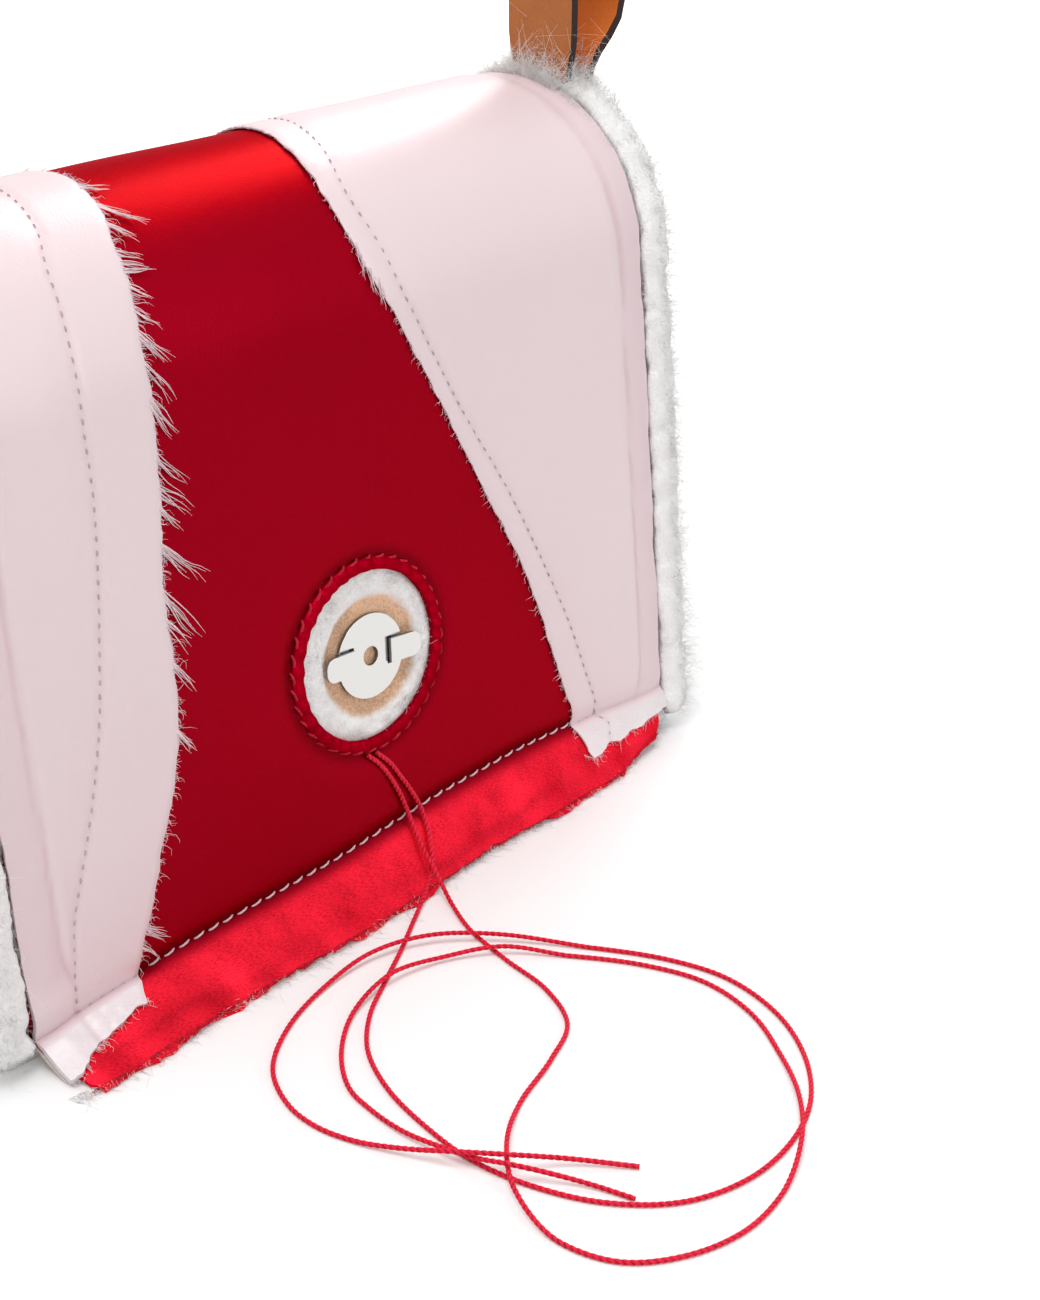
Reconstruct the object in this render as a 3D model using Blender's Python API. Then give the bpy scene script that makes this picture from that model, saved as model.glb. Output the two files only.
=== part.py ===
"""Small shearling shoulder bag: wrap-over flap with satin facings, magnetic snap, loose threads and strap.

Metres, +Z up. X runs across the bag, -Y is the front, Z = 0 is the underside of the base.
A place on the bag's front, crown or back is given as (x, s, n): s runs up the outside from the flap's
bottom seam, over the crown and down the back, and n is the distance out from the red satin's face.
"""
import math

import bmesh
import bpy
from mathutils import Matrix, Vector

# Fits
GAP = 0.0003
PIN_PLAY = 0.0003

# Outer form of the closed bag, measured on the face of the red satin
LEAN = math.radians(5.4)
CROWN_RADIUS = 0.0347
CROWN_Z = 0.1130
SEAM_Z = 0.0100
FLAP_SIDE_PLAY = 0.0005
HEM_LENGTH = 0.0136
HEM_ANGLE = math.radians(48.0)
ARC_STEPS = 18

# Flap layers
SATIN_THICK = 0.0008
PINK_THICK = 0.0008
SHEARLING_THICK = 0.0040
SHEARLING_HEM = 0.0110
SHEARLING_HEM_THICK = 0.0016
SHEARLING_INSET = 0.0060
PINK_HEM = 0.0085
ROOT_SETBACK = 0.0030

# Window and snap
WINDOW_S = 0.0410
WINDOW_RADIUS = 0.0180
BINDING_WIDTH = 0.0026
BINDING_HEIGHT = 0.0018
SHAVED_RADIUS = 0.0130
SKIN_THICK = 0.0032
SNAP_X = 0.0013
SNAP_S = 0.0402
WASHER_RADIUS = 0.0090
WASHER_THICK = 0.0007
WASHER_BORE = 0.0020
PRONG_WIDTH = 0.0052
PRONG_THICK = 0.0006
PRONG_PLACE = 0.0049
PRONG_REACH = 0.0130
PRONG_TILT = math.radians(-4.0)
PLUG_THICK = 0.0015
STUD_RADIUS = 0.0026
STUD_HEIGHT = 0.0013
SOCKET_THICK = 0.0026
SOCKET_WALL = 0.0005
STUD_PLAY = 0.0018
MAGNET_THICK = 0.0016
SNAP_POCKET_PLAY = 0.0042

# Body
PANEL_THICK = 0.0060
BACK_THICK = 0.0051
FLAP_TO_PANEL = 0.0004
PANEL_TOP_BELOW_TANGENT = 0.0120
BODY_HALF_WIDTH = 0.0937
GUSSET_THICK = 0.0046
GUSSET_PROUD = 0.0015
GUSSET_ROUND = 0.0012
BASE_THICK = 0.0040
BASE_HALF_DEPTH = 0.0430
BASE_ROUND = 0.0014
BOARD_THICK = 0.0020
LINING_THICK = 0.0010
LINING_TOP_Z = 0.1050

# Strap
STRAP_Y = -0.0030
STRAP_HALF_WIDTH = 0.0093
STRAP_THICK = 0.0022
STRAP_RISE = 0.1550
PIN_BELOW_TOP = 0.0097
PIN_RADIUS = 0.0020
PIN_HEAD_RADIUS = 0.0034
PIN_HEAD_THICK = 0.0007
LEG_TIP = 0.0090
LEG_TIP_HALF_WIDTH = 0.0022
LEG_BOW = 0.0082
FORK_DEPTH = 0.0385
FORK_BLEND = 0.0240

# Loose threads: routes through points chosen by eye, in millimetres, from the binding to the cut end
THREAD_RADIUS = 0.0005
THREAD_STATIONS = 80
THREAD_A_ROUTE = [
    (-1.2, -43.5, 29.9), (1.9, -43.9, 26.6), (4.7, -44.3, 22.2), (7.6, -44.8, 17.2), (9.6, -45.3, 12.6),
    (9.2, -47.4, 8.9), (7.2, -50.4, 6.0), (4.6, -53.2, 3.5), (-1.0, -56.6, 1.7), (-8.3, -60.8, 0.55),
    (-18.0, -66.8, 0.55), (-28.4, -72.7, 0.55), (-37.5, -78.2, 0.55), (-45.5, -86.0, 0.55),
    (-51.0, -97.0, 0.55), (-54.0, -110.0, 0.55), (-55.0, -122.0, 0.55), (-52.8, -134.5, 0.55),
    (-47.5, -146.3, 0.55), (-38.5, -155.6, 0.55), (-26.5, -160.0, 0.55), (-14.0, -159.6, 0.55),
    (-2.0, -155.3, 0.55), (8.4, -146.5, 0.55), (15.8, -134.5, 0.55), (18.6, -120.5, 0.55),
    (15.8, -108.0, 0.55), (8.2, -93.4, 0.55), (-2.0, -78.6, 1.9), (-12.0, -69.0, 2.2), (-24.0, -64.6, 1.9),
    (-38.0, -65.4, 0.7), (-51.5, -70.2, 0.55), (-61.5, -77.6, 0.55), (-66.4, -87.4, 0.55),
    (-67.1, -95.7, 0.55), (-65.3, -103.4, 0.6), (-61.8, -112.0, 1.6), (-58.0, -119.7, 3.0),
    (-52.3, -127.8, 3.4), (-44.2, -134.9, 1.6), (-36.6, -144.3, 0.55),
]
THREAD_B_ROUTE = [
    (-3.6, -43.4, 30.2), (-0.8, -43.8, 27.2), (1.9, -44.2, 23.0), (4.2, -44.7, 18.0), (5.8, -45.1, 13.4),
    (5.8, -47.2, 9.6), (5.0, -50.2, 7.0), (3.7, -54.6, 4.6), (2.4, -58.2, 2.8), (0.4, -62.8, 1.3),
    (-3.4, -72.0, 0.55), (-6.2, -84.5, 0.55), (-8.3, -97.0, 0.55), (-14.0, -107.6, 0.55),
    (-24.5, -112.8, 0.55), (-38.6, -117.7, 0.55), (-49.0, -124.6, 2.0), (-57.0, -134.0, 2.0),
    (-60.2, -146.0, 0.6), (-57.2, -157.0, 0.55), (-49.0, -164.0, 0.55), (-37.5, -167.6, 0.55),
    (-25.0, -166.4, 0.55), (-12.8, -161.2, 1.9), (-2.5, -153.0, 1.6), (6.6, -141.6, 0.55),
    (12.6, -130.6, 0.55), (14.6, -118.0, 0.55), (11.0, -105.6, 0.55), (3.2, -92.4, 0.55),
    (-4.8, -82.2, 2.0), (-14.5, -75.6, 1.3), (-26.5, -72.9, 2.1), (-38.5, -75.2, 0.9), (-49.0, -82.6, 0.55),
    (-55.6, -91.7, 0.55), (-57.2, -98.7, 0.55), (-57.9, -108.0, 0.9), (-57.1, -116.6, 1.7),
    (-55.6, -123.0, 2.05), (-54.0, -129.4, 3.3), (-50.2, -134.8, 2.2), (-45.9, -141.8, 0.8),
    (-43.5, -149.1, 0.55),
]

# Edges of the pink panels, (x, s) in millimetres from the hem to the crown's back
LEFT_PANEL_EDGE = [
    (-66.0, -9.0), (-63.2, 0.0), (-60.3, 12.0), (-56.9, 21.0), (-53.1, 30.0), (-49.4, 41.0),
    (-47.1, 56.5), (-46.8, 68.4), (-46.6, 79.9), (-45.2, 92.8), (-44.8, 105.8), (-44.4, 118.6),
    (-41.6, 131.4), (-36.9, 146.0), (-35.5, 158.0), (-36.5, 180.0), (-38.0, 210.0),
]
RIGHT_PANEL_EDGE = [
    (64.0, -9.0), (61.6, 0.0), (59.7, 5.5), (55.5, 15.6), (52.0, 31.2), (45.5, 47.3), (39.0, 60.5),
    (28.1, 83.0), (16.6, 105.3), (12.7, 113.2), (9.6, 122.0), (8.6, 131.0), (9.8, 142.0),
    (12.0, 156.0), (14.5, 175.0), (16.5, 210.0),
]
# Fringe tufts on the left panel's raw edge: place s, and how far the tuft stands off, in millimetres
LEFT_TUFTS = [
    (66.0, 4.0), (73.0, 6.5), (80.0, 8.5), (87.0, 7.5), (93.0, 6.0), (98.5, 4.5), (105.0, 7.0),
    (110.5, 6.5), (115.5, 6.0), (120.5, 5.0), (127.0, 6.5), (133.5, 8.0), (140.0, 9.0), (146.5, 10.0),
    (153.0, 11.0),
]

FRONT_LENGTH = (CROWN_Z + CROWN_RADIUS * math.sin(LEAN) - SEAM_Z) / math.cos(LEAN)
CROWN_LENGTH = CROWN_RADIUS * (math.pi - 2.0 * LEAN)
ROOT_S = FRONT_LENGTH + CROWN_LENGTH
SHEARLING_TOP_N = -SATIN_THICK - GAP
SHEARLING_BOTTOM_N = SHEARLING_TOP_N - SHEARLING_THICK
PANEL_TOP_N = SHEARLING_BOTTOM_N - FLAP_TO_PANEL
PANEL_BOTTOM_N = PANEL_TOP_N - PANEL_THICK
GUSSET_INNER_X = BODY_HALF_WIDTH + GAP
GUSSET_OUTER_X = GUSSET_INNER_X + GUSSET_THICK
PIN_Z = CROWN_Z + CROWN_RADIUS + GUSSET_PROUD - PIN_BELOW_TOP
INNER_LEG_X = GUSSET_INNER_X - GAP - STRAP_THICK / 2.0
FLAP_HALF_WIDTH = INNER_LEG_X - STRAP_THICK / 2.0 - GAP - PIN_HEAD_THICK - FLAP_SIDE_PLAY
OUTER_LEG_X = GUSSET_OUTER_X + GAP + STRAP_THICK / 2.0
STRAP_MID_X = (INNER_LEG_X + OUTER_LEG_X) / 2.0
PLUG_FACE_N = SHEARLING_BOTTOM_N - GAP
SOCKET_FACE_N = PLUG_FACE_N - PLUG_THICK - GAP
POCKET_FLOOR_N = SOCKET_FACE_N - SOCKET_THICK - GAP
SHAVED_FLOOR_N = SHEARLING_BOTTOM_N + SKIN_THICK


def clear_scene():
    for item in list(bpy.data.objects):
        bpy.data.objects.remove(item, do_unlink=True)


def material(name, colour, roughness, metallic=0.0):
    finish = bpy.data.materials.new(name)
    finish.use_nodes = True
    shader = finish.node_tree.nodes["Principled BSDF"]
    shader.inputs["Base Color"].default_value = (*colour, 1.0)
    shader.inputs["Roughness"].default_value = roughness
    shader.inputs["Metallic"].default_value = metallic
    return finish


def add_object(name, shape, finish):
    """Turns a bmesh into a named object with its faces pointing out."""
    bmesh.ops.recalc_face_normals(shape, faces=shape.faces)
    mesh = bpy.data.meshes.new(name)
    shape.to_mesh(mesh)
    shape.free()
    item = bpy.data.objects.new(name, mesh)
    bpy.context.scene.collection.objects.link(item)
    if finish is not None:
        mesh.materials.append(finish)
    mesh.shade_smooth()
    mesh.set_sharp_from_angle(angle=math.radians(35.0))
    return item


def parent_keep_place(item, empty):
    item.parent = empty
    item.matrix_parent_inverse = Matrix.Translation(-empty.location)


def smooth_step(value, start, end):
    share = min(max((value - start) / (end - start), 0.0), 1.0)
    return share * share * (3.0 - 2.0 * share)


def outside(s, n, hem=True):
    """Y and Z of the place s along the outside and n out from it; the hem splays forward below the seam."""
    if s < 0.0 and hem:
        tilt = HEM_ANGLE
        start_y = -CROWN_RADIUS * math.cos(LEAN) - FRONT_LENGTH * math.sin(LEAN)
        y = start_y + s * math.sin(tilt)
        z = SEAM_Z + s * math.cos(tilt)
        return y - n * math.cos(tilt), z + n * math.sin(tilt)
    if s <= FRONT_LENGTH:
        turn = LEAN
        run = s - FRONT_LENGTH
        y = run * math.sin(LEAN)
        z = run * math.cos(LEAN)
    elif s <= ROOT_S:
        turn = LEAN + (s - FRONT_LENGTH) / CROWN_RADIUS
        y = 0.0
        z = 0.0
    else:
        turn = math.pi - LEAN
        run = s - ROOT_S
        y = run * math.sin(LEAN)
        z = -run * math.cos(LEAN)
    reach = CROWN_RADIUS + n
    return y - reach * math.cos(turn), CROWN_Z + z + reach * math.sin(turn)


def crown_rows(start, end, spacing):
    """Places from start to end, with even steps on the straights and ARC_STEPS over the crown."""
    rows = [start]
    stops = [s for s in (0.0, FRONT_LENGTH, ROOT_S) if start < s < end] + [end]
    for stop in stops:
        span = stop - rows[-1]
        on_crown = rows[-1] >= FRONT_LENGTH - 1e-9 and stop <= ROOT_S + 1e-9
        step = CROWN_LENGTH / ARC_STEPS if on_crown else spacing
        count = max(1, round(span / step))
        first = rows[-1]
        rows += [first + span * k / count for k in range(1, count + 1)]
    return rows


def spline_at(points, s):
    """x at s on a smooth curve through hand-chosen (x, s) points, all in millimetres."""
    last = len(points) - 1
    index = 0
    while index < last - 1 and points[index + 1][1] < s:
        index += 1
    before = points[max(index - 1, 0)]
    a = points[index]
    b = points[index + 1]
    after = points[min(index + 2, last)]
    width = b[1] - a[1]
    share = min(max((s - a[1]) / width, 0.0), 1.0)
    slope_a = (b[0] - before[0]) / max(b[1] - before[1], 1e-6) * width
    slope_b = (after[0] - a[0]) / max(after[1] - a[1], 1e-6) * width
    cube = share ** 3
    square = share ** 2
    x = (2 * cube - 3 * square + 1) * a[0] + (cube - 2 * square + share) * slope_a
    return x + (3 * square - 2 * cube) * b[0] + (cube - square) * slope_b


def ragged(place, height, pitch, seed):
    """Small uneven waves along a torn edge, repeatable from its seed."""
    wave = math.sin(place / pitch * 6.28 + seed) + 0.6 * math.sin(place / pitch * 14.9 + 2.0 * seed)
    return height * wave / 1.6


def sheet(name, rows, left, right, top, bottom, columns, finish, hem=True):
    """Closed sheet over the bag's outside: left, right, top and bottom are functions of the row s."""
    shape = bmesh.new()
    layers = []
    for side in (top, bottom):
        grid = []
        for s in rows:
            line = []
            for k in range(columns + 1):
                x = left(s) + (right(s) - left(s)) * k / columns
                y, z = outside(s, side(s), hem)
                line.append(shape.verts.new((x, y, z)))
            grid.append(line)
        layers.append(grid)
    upper, lower = layers
    last_row = len(rows) - 1
    for r in range(last_row):
        for k in range(columns):
            shape.faces.new((upper[r][k], upper[r][k + 1], upper[r + 1][k + 1], upper[r + 1][k]))
            shape.faces.new((lower[r][k], lower[r + 1][k], lower[r + 1][k + 1], lower[r][k + 1]))
        for k in (0, columns):
            shape.faces.new((upper[r][k], upper[r + 1][k], lower[r + 1][k], lower[r][k]))
    for r in (0, last_row):
        for k in range(columns):
            shape.faces.new((upper[r][k], upper[r][k + 1], lower[r][k + 1], lower[r][k]))
    return add_object(name, shape, finish)


def face_frame(x, s):
    """Matrix whose origin is on the satin's face at (x, s), with local Z straight out of the front."""
    y, z = outside(s, 0.0)
    across = Vector((1.0, 0.0, 0.0))
    up = Vector((0.0, math.sin(LEAN), math.cos(LEAN)))
    out = across.cross(up)
    turn = Matrix((across, up, out)).transposed().to_4x4()
    return Matrix.Translation((x, y, z)) @ turn


def turned(name, profile, steps, place, finish):
    """Solid turned about local Z from a closed (radius, height) profile; radius 0 closes on the axis."""
    shape = bmesh.new()
    rings = []
    for radius, height in profile:
        if radius < 1e-7:
            rings.append([shape.verts.new((0.0, 0.0, height))])
            continue
        ring = []
        for k in range(steps):
            angle = 2.0 * math.pi * k / steps
            ring.append(shape.verts.new((radius * math.cos(angle), radius * math.sin(angle), height)))
        rings.append(ring)
    closed = len(rings[0]) > 1
    pairs = len(rings) if closed else len(rings) - 1
    for index in range(pairs):
        first = rings[index]
        second = rings[(index + 1) % len(rings)]
        for k in range(steps):
            after = (k + 1) % steps
            corners = [first[k % len(first)], first[after % len(first)]]
            corners += [second[after % len(second)], second[k % len(second)]]
            unique = list(dict.fromkeys(corners))
            if len(unique) > 2:
                shape.faces.new(unique)
    bmesh.ops.transform(shape, matrix=place, verts=shape.verts)
    return add_object(name, shape, finish)


def extruded(name, outline, near, far, place, finish):
    """Prism from a closed (across, height) outline, run along local Y from near to far."""
    shape = bmesh.new()
    front = [shape.verts.new((x, near, z)) for x, z in outline]
    back = [shape.verts.new((x, far, z)) for x, z in outline]
    count = len(outline)
    shape.faces.new(front)
    shape.faces.new(back)
    for k in range(count):
        after = (k + 1) % count
        shape.faces.new((front[k], front[after], back[after], back[k]))
    bmesh.ops.transform(shape, matrix=place, verts=shape.verts)
    return add_object(name, shape, finish)


def combine(target, tool, operation):
    """Live exact Boolean; the tool stays as a hidden wire guide."""
    tool.hide_render = True
    tool.display_type = "WIRE"
    modifier = target.modifiers.new(operation.lower(), "BOOLEAN")
    modifier.operation = operation
    modifier.solver = "EXACT"
    modifier.object = tool


def cylinder_profile(radius, low, high):
    return [(0.0, low), (radius, low), (radius, high), (0.0, high)]


def washer_profile(low, high):
    return [(WASHER_BORE, low), (WASHER_RADIUS, low), (WASHER_RADIUS, high), (WASHER_BORE, high)]


def pin_frame(side):
    """Origin on a strap pin between the legs, with local Z pointing away from the bag."""
    place = Matrix.Translation((side * STRAP_MID_X, STRAP_Y, PIN_Z))
    return place @ Matrix.Rotation(side * math.pi / 2.0, 4, "Y")


def pin_cutter(name, side):
    place = pin_frame(side)
    reach = GUSSET_THICK + 2.0 * STRAP_THICK
    return turned(name, cylinder_profile(PIN_RADIUS + PIN_PLAY, -reach, reach), 24, place, None)


def make_flap_layers(finishes):
    """Red satin cover with its hem, the shearling under it, and the two pink panels on it."""
    shearling_edge = FLAP_HALF_WIDTH - SHEARLING_INSET
    root = ROOT_S - GAP

    def cover_left(s):
        return -FLAP_HALF_WIDTH + 0.0006 + ragged(s, 0.0005, 0.016, 1.0)

    def cover_right(s):
        return FLAP_HALF_WIDTH - 0.0006 + ragged(s, 0.0005, 0.017, 2.0)

    cover = sheet(
        "red_satin_cover", crown_rows(-HEM_LENGTH, root, 0.012), cover_left, cover_right,
        lambda s: 0.0, lambda s: -SATIN_THICK, 36, finishes["red"])
    trim_hem(cover)

    def shearling_bottom(s):
        thin = SHEARLING_TOP_N - SHEARLING_HEM_THICK
        return thin + (SHEARLING_BOTTOM_N - thin) * smooth_step(s, 0.0, 0.004)

    shearling = sheet(
        "flap_shearling", [-SHEARLING_HEM, 0.0, 0.002, 0.004] + crown_rows(0.012, root, 0.016),
        lambda s: -shearling_edge, lambda s: shearling_edge,
        lambda s: SHEARLING_TOP_N, shearling_bottom, 6, finishes["fleece"])

    def tuft(s):
        for place, reach in LEFT_TUFTS:
            off = (s - place / 1000.0) / 0.0024
            if 0.0 <= off + 0.35 <= 1.35:
                return reach / 1000.0 * (off + 0.35) / 0.35 if off < 0.0 else reach / 1000.0 * (1.0 - off)
        return 0.0

    tuft_rows = [(place + shift) / 1000.0 for place, _ in LEFT_TUFTS for shift in (-0.9, 0.0, 2.4)]
    left_rows = sorted(set(crown_rows(-PINK_HEM, ROOT_S - ROOT_SETBACK, 0.006) + tuft_rows))
    left_rows = [s for k, s in enumerate(left_rows) if k == 0 or s - left_rows[k - 1] > 0.0003]
    left_panel = sheet(
        "pink_panel_left", left_rows,
        lambda s: -FLAP_HALF_WIDTH + 0.0004,
        lambda s: spline_at(LEFT_PANEL_EDGE, s * 1000.0) / 1000.0 + tuft(s) + ragged(s, 0.0004, 0.011, 3.0),
        lambda s: GAP + PINK_THICK, lambda s: GAP, 2, finishes["pink"])
    right_panel = sheet(
        "pink_panel_right", crown_rows(-PINK_HEM, ROOT_S - ROOT_SETBACK, 0.005),
        lambda s: spline_at(RIGHT_PANEL_EDGE, s * 1000.0) / 1000.0 + ragged(s, 0.0006, 0.012, 4.0),
        lambda s: FLAP_HALF_WIDTH - 0.0004,
        lambda s: GAP + PINK_THICK, lambda s: GAP, 2, finishes["pink"])
    return [cover, shearling, left_panel, right_panel]


def trim_hem(cover):
    """Tears the hem's lower edge: each corner of it slides up the hem by an uneven amount."""
    low_z = outside(-HEM_LENGTH, 0.0)[1]
    for vertex in cover.data.vertices:
        place = (vertex.co.z - SEAM_Z) / (low_z - SEAM_Z)
        if vertex.co.y < 0.0 and place > 0.9:
            lift = 0.0011 + ragged(vertex.co.x, 0.0011, 0.023, 5.0)
            vertex.co.y += lift * math.sin(HEM_ANGLE)
            vertex.co.z += lift * math.cos(HEM_ANGLE)


def prong_outline(side, foot, top):
    """Prong standing on foot and bent out flat at top, as an (across, height) outline."""
    inner = side * PRONG_PLACE
    outer = side * (PRONG_PLACE + PRONG_THICK)
    tip = side * PRONG_REACH
    rise = PRONG_THICK * 0.6
    return [
        (inner, foot), (outer, foot), (outer, top - PRONG_THICK), (tip, top - PRONG_THICK + rise),
        (tip, top + rise), (inner, top),
    ]


def prong_slots(name, place, low, high):
    """Cutter for the two slots that a pair of prongs passes through."""
    slots = []
    for side in (-1.0, 1.0):
        near = side * (PRONG_PLACE - GAP)
        far = side * (PRONG_PLACE + PRONG_THICK + GAP)
        outline = [(near, low), (far, low), (far, high), (near, high)]
        half = PRONG_WIDTH / 2.0 + GAP
        label = "left" if side < 0.0 else "right"
        slots.append(extruded(f"{name}_{label}", outline, -half, half, place, None))
    return slots


def make_snap(finishes, layers, front_panel):
    """Window, binding, uncovered washer and prongs, plug, and the magnet socket on the front panel."""
    cover, shearling = layers[0], layers[1]
    middle_of_window = face_frame(0.0, WINDOW_S)
    centre = face_frame(SNAP_X, SNAP_S)
    tilted = centre @ Matrix.Rotation(PRONG_TILT, 4, "Z")
    window_profile = cylinder_profile(WINDOW_RADIUS, -2.0 * SATIN_THICK, SATIN_THICK)
    window = turned("window_cutter", window_profile, 48, middle_of_window, None)
    combine(cover, window, "DIFFERENCE")
    shaved = turned("shaved_cutter", cylinder_profile(SHAVED_RADIUS, SHAVED_FLOOR_N, 0.0), 40, centre, None)
    combine(shearling, shaved, "DIFFERENCE")
    for slot in prong_slots("flap_slot", tilted, PLUG_FACE_N - GAP, SHAVED_FLOOR_N + GAP):
        combine(shearling, slot, "DIFFERENCE")

    middle = WINDOW_RADIUS + BINDING_WIDTH / 2.0
    ring = []
    for k in range(8):
        angle = 2.0 * math.pi * k / 8
        radius = middle + BINDING_WIDTH / 2.0 * math.cos(angle)
        ring.append((radius, GAP + BINDING_HEIGHT / 2.0 * (1.0 + math.sin(angle))))
    binding = turned("window_binding", ring, 40, middle_of_window, finishes["red"])

    washer_n = SHAVED_FLOOR_N + GAP
    washer_top = washer_n + WASHER_THICK
    washer = turned("plug_washer", washer_profile(washer_n, washer_top), 40, tilted, finishes["nickel"])
    for slot in prong_slots("washer_slot", tilted, washer_n - GAP, washer_top + GAP):
        combine(washer, slot, "DIFFERENCE")

    plug_low = PLUG_FACE_N - PLUG_THICK
    plug_profile = [
        (0.0, plug_low - STUD_HEIGHT), (STUD_RADIUS, plug_low - STUD_HEIGHT), (STUD_RADIUS, plug_low),
        (WASHER_RADIUS, plug_low), (WASHER_RADIUS, PLUG_FACE_N), (0.0, PLUG_FACE_N),
    ]
    plug = turned("snap_plug", plug_profile, 40, tilted, finishes["nickel"])
    add_prongs(plug, "plug_prong", tilted, PLUG_FACE_N - PLUG_THICK / 2.0, washer_top + GAP + PRONG_THICK)

    pocket_radius = WASHER_RADIUS + SNAP_POCKET_PLAY
    pocket_profile = cylinder_profile(pocket_radius, POCKET_FLOOR_N, PANEL_TOP_N + PLUG_THICK)
    pocket = turned("pocket_cutter", pocket_profile, 40, centre, None)
    combine(front_panel, pocket, "DIFFERENCE")
    for slot in prong_slots("panel_slot", centre, PANEL_BOTTOM_N - GAP, POCKET_FLOOR_N + GAP):
        combine(front_panel, slot, "DIFFERENCE")

    socket_low = SOCKET_FACE_N - SOCKET_THICK
    floor_n = socket_low + SOCKET_WALL
    bore = STUD_RADIUS + STUD_PLAY
    case_profile = [
        (0.0, socket_low), (WASHER_RADIUS, socket_low), (WASHER_RADIUS, SOCKET_FACE_N),
        (WASHER_RADIUS - SOCKET_WALL, SOCKET_FACE_N), (WASHER_RADIUS - SOCKET_WALL, floor_n), (0.0, floor_n),
    ]
    case = turned("snap_socket", case_profile, 40, centre, finishes["nickel"])
    back_washer_n = PANEL_BOTTOM_N - GAP
    back_washer_low = back_washer_n - WASHER_THICK
    prong_top = back_washer_low - GAP - PRONG_THICK
    add_prongs(case, "socket_prong", centre, socket_low + SOCKET_WALL / 2.0, prong_top)
    magnet_radius = WASHER_RADIUS - SOCKET_WALL - GAP
    magnet_low = floor_n + GAP
    magnet_high = magnet_low + MAGNET_THICK
    magnet = turned(
        "snap_magnet",
        [(bore, magnet_low), (magnet_radius, magnet_low), (magnet_radius, magnet_high), (bore, magnet_high)],
        40, centre, finishes["magnet"])
    back_profile = washer_profile(back_washer_low, back_washer_n)
    back_washer = turned("socket_washer", back_profile, 40, centre, finishes["nickel"])
    for slot in prong_slots("back_slot", centre, back_washer_low - GAP, back_washer_n + GAP):
        combine(back_washer, slot, "DIFFERENCE")
    return [binding, washer, plug], [case, magnet, back_washer]


def add_prongs(body, name, place, foot, top):
    """Joins two bent prongs to a snap half; they bend away from the half, whichever way top lies."""
    half = PRONG_WIDTH / 2.0
    flip = 1.0 if top > foot else -1.0
    for side in (-1.0, 1.0):
        outline = prong_outline(side, 0.0, abs(top - foot))
        outline = [(x, foot + flip * z) for x, z in outline]
        label = f"{name}_{'left' if side < 0.0 else 'right'}"
        combine(body, extruded(label, outline, -half, half, place, None), "UNION")


def make_body(finishes):
    """Front and back panels, gussets, base, board and the open lining pouch."""
    slope = math.tan(LEAN)
    panel_foot = (BASE_THICK + GAP - PANEL_BOTTOM_N * slope * math.cos(LEAN) - SEAM_Z) / math.cos(LEAN)
    panel_top = FRONT_LENGTH - PANEL_TOP_BELOW_TANGENT
    front = sheet(
        "front_panel", [panel_foot + (panel_top - panel_foot) * k / 4 for k in range(5)],
        lambda s: -BODY_HALF_WIDTH, lambda s: BODY_HALF_WIDTH,
        lambda s: PANEL_TOP_N, lambda s: PANEL_BOTTOM_N, 4, finishes["fleece"], hem=False)
    back_foot = ROOT_S + FRONT_LENGTH + (SEAM_Z - BASE_THICK - GAP) / math.cos(LEAN) - BACK_THICK * slope
    back = sheet(
        "back_panel", [ROOT_S + GAP + (back_foot - ROOT_S - GAP) * k / 4 for k in range(5)],
        lambda s: -BODY_HALF_WIDTH, lambda s: BODY_HALF_WIDTH,
        lambda s: 0.0, lambda s: -BACK_THICK, 4, finishes["fleece"], hem=False)

    gussets = []
    foot_drop = (SEAM_Z - BASE_THICK - GAP) / math.cos(LEAN)
    for side, label in ((-1.0, "left"), (1.0, "right")):
        gusset = make_gusset(f"gusset_{label}", side, foot_drop, finishes["fleece"])
        combine(gusset, pin_cutter(f"gusset_pin_cutter_{label}", side), "DIFFERENCE")
        gussets.append(gusset)

    base = rounded_slab(
        "base_panel", GUSSET_OUTER_X, BASE_HALF_DEPTH, 0.0, BASE_THICK, BASE_ROUND, finishes["fleece"])
    board_low = BASE_THICK + GAP
    board_high = board_low + BOARD_THICK
    front_inner_y = outside(0.0, PANEL_BOTTOM_N, hem=False)[0] - (SEAM_Z - board_low) * slope
    back_inner_y = -outside(0.0, 0.0)[0] - BACK_THICK
    board = slab("base_board", -BODY_HALF_WIDTH + GAP, BODY_HALF_WIDTH - GAP,
                 front_inner_y + (board_high - board_low) + GAP, back_inner_y - GAP,
                 board_low, board_high, finishes["board"])
    lining = make_lining(board_high + GAP, slope, finishes["lining"])
    return front, [front, back, *gussets, base, board, lining]


def make_gusset(name, side, foot_drop, finish):
    """Side panel: the bag's outline, a little proud of it, in rings across its thickness, round edged."""
    rings = (
        (GUSSET_INNER_X, GUSSET_PROUD - GUSSET_ROUND), (GUSSET_INNER_X + GUSSET_ROUND, GUSSET_PROUD),
        (GUSSET_OUTER_X - GUSSET_ROUND, GUSSET_PROUD), (GUSSET_OUTER_X, GUSSET_PROUD - GUSSET_ROUND),
    )
    rows = crown_rows(-foot_drop, ROOT_S + FRONT_LENGTH + foot_drop, 0.04)
    shape = bmesh.new()
    loops = []
    for x, proud in rings:
        loops.append([shape.verts.new((side * x, *outside(s, proud, hem=False))) for s in rows])
    for vertices in loops:
        vertices[0].co.z = BASE_THICK + GAP
        vertices[-1].co.z = BASE_THICK + GAP
    count = len(rows)
    for first, second in zip(loops, loops[1:]):
        for k in range(count):
            after = (k + 1) % count
            shape.faces.new((first[k], first[after], second[after], second[k]))
    shape.faces.new(loops[0])
    shape.faces.new(loops[-1])
    return add_object(name, shape, finish)


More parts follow.
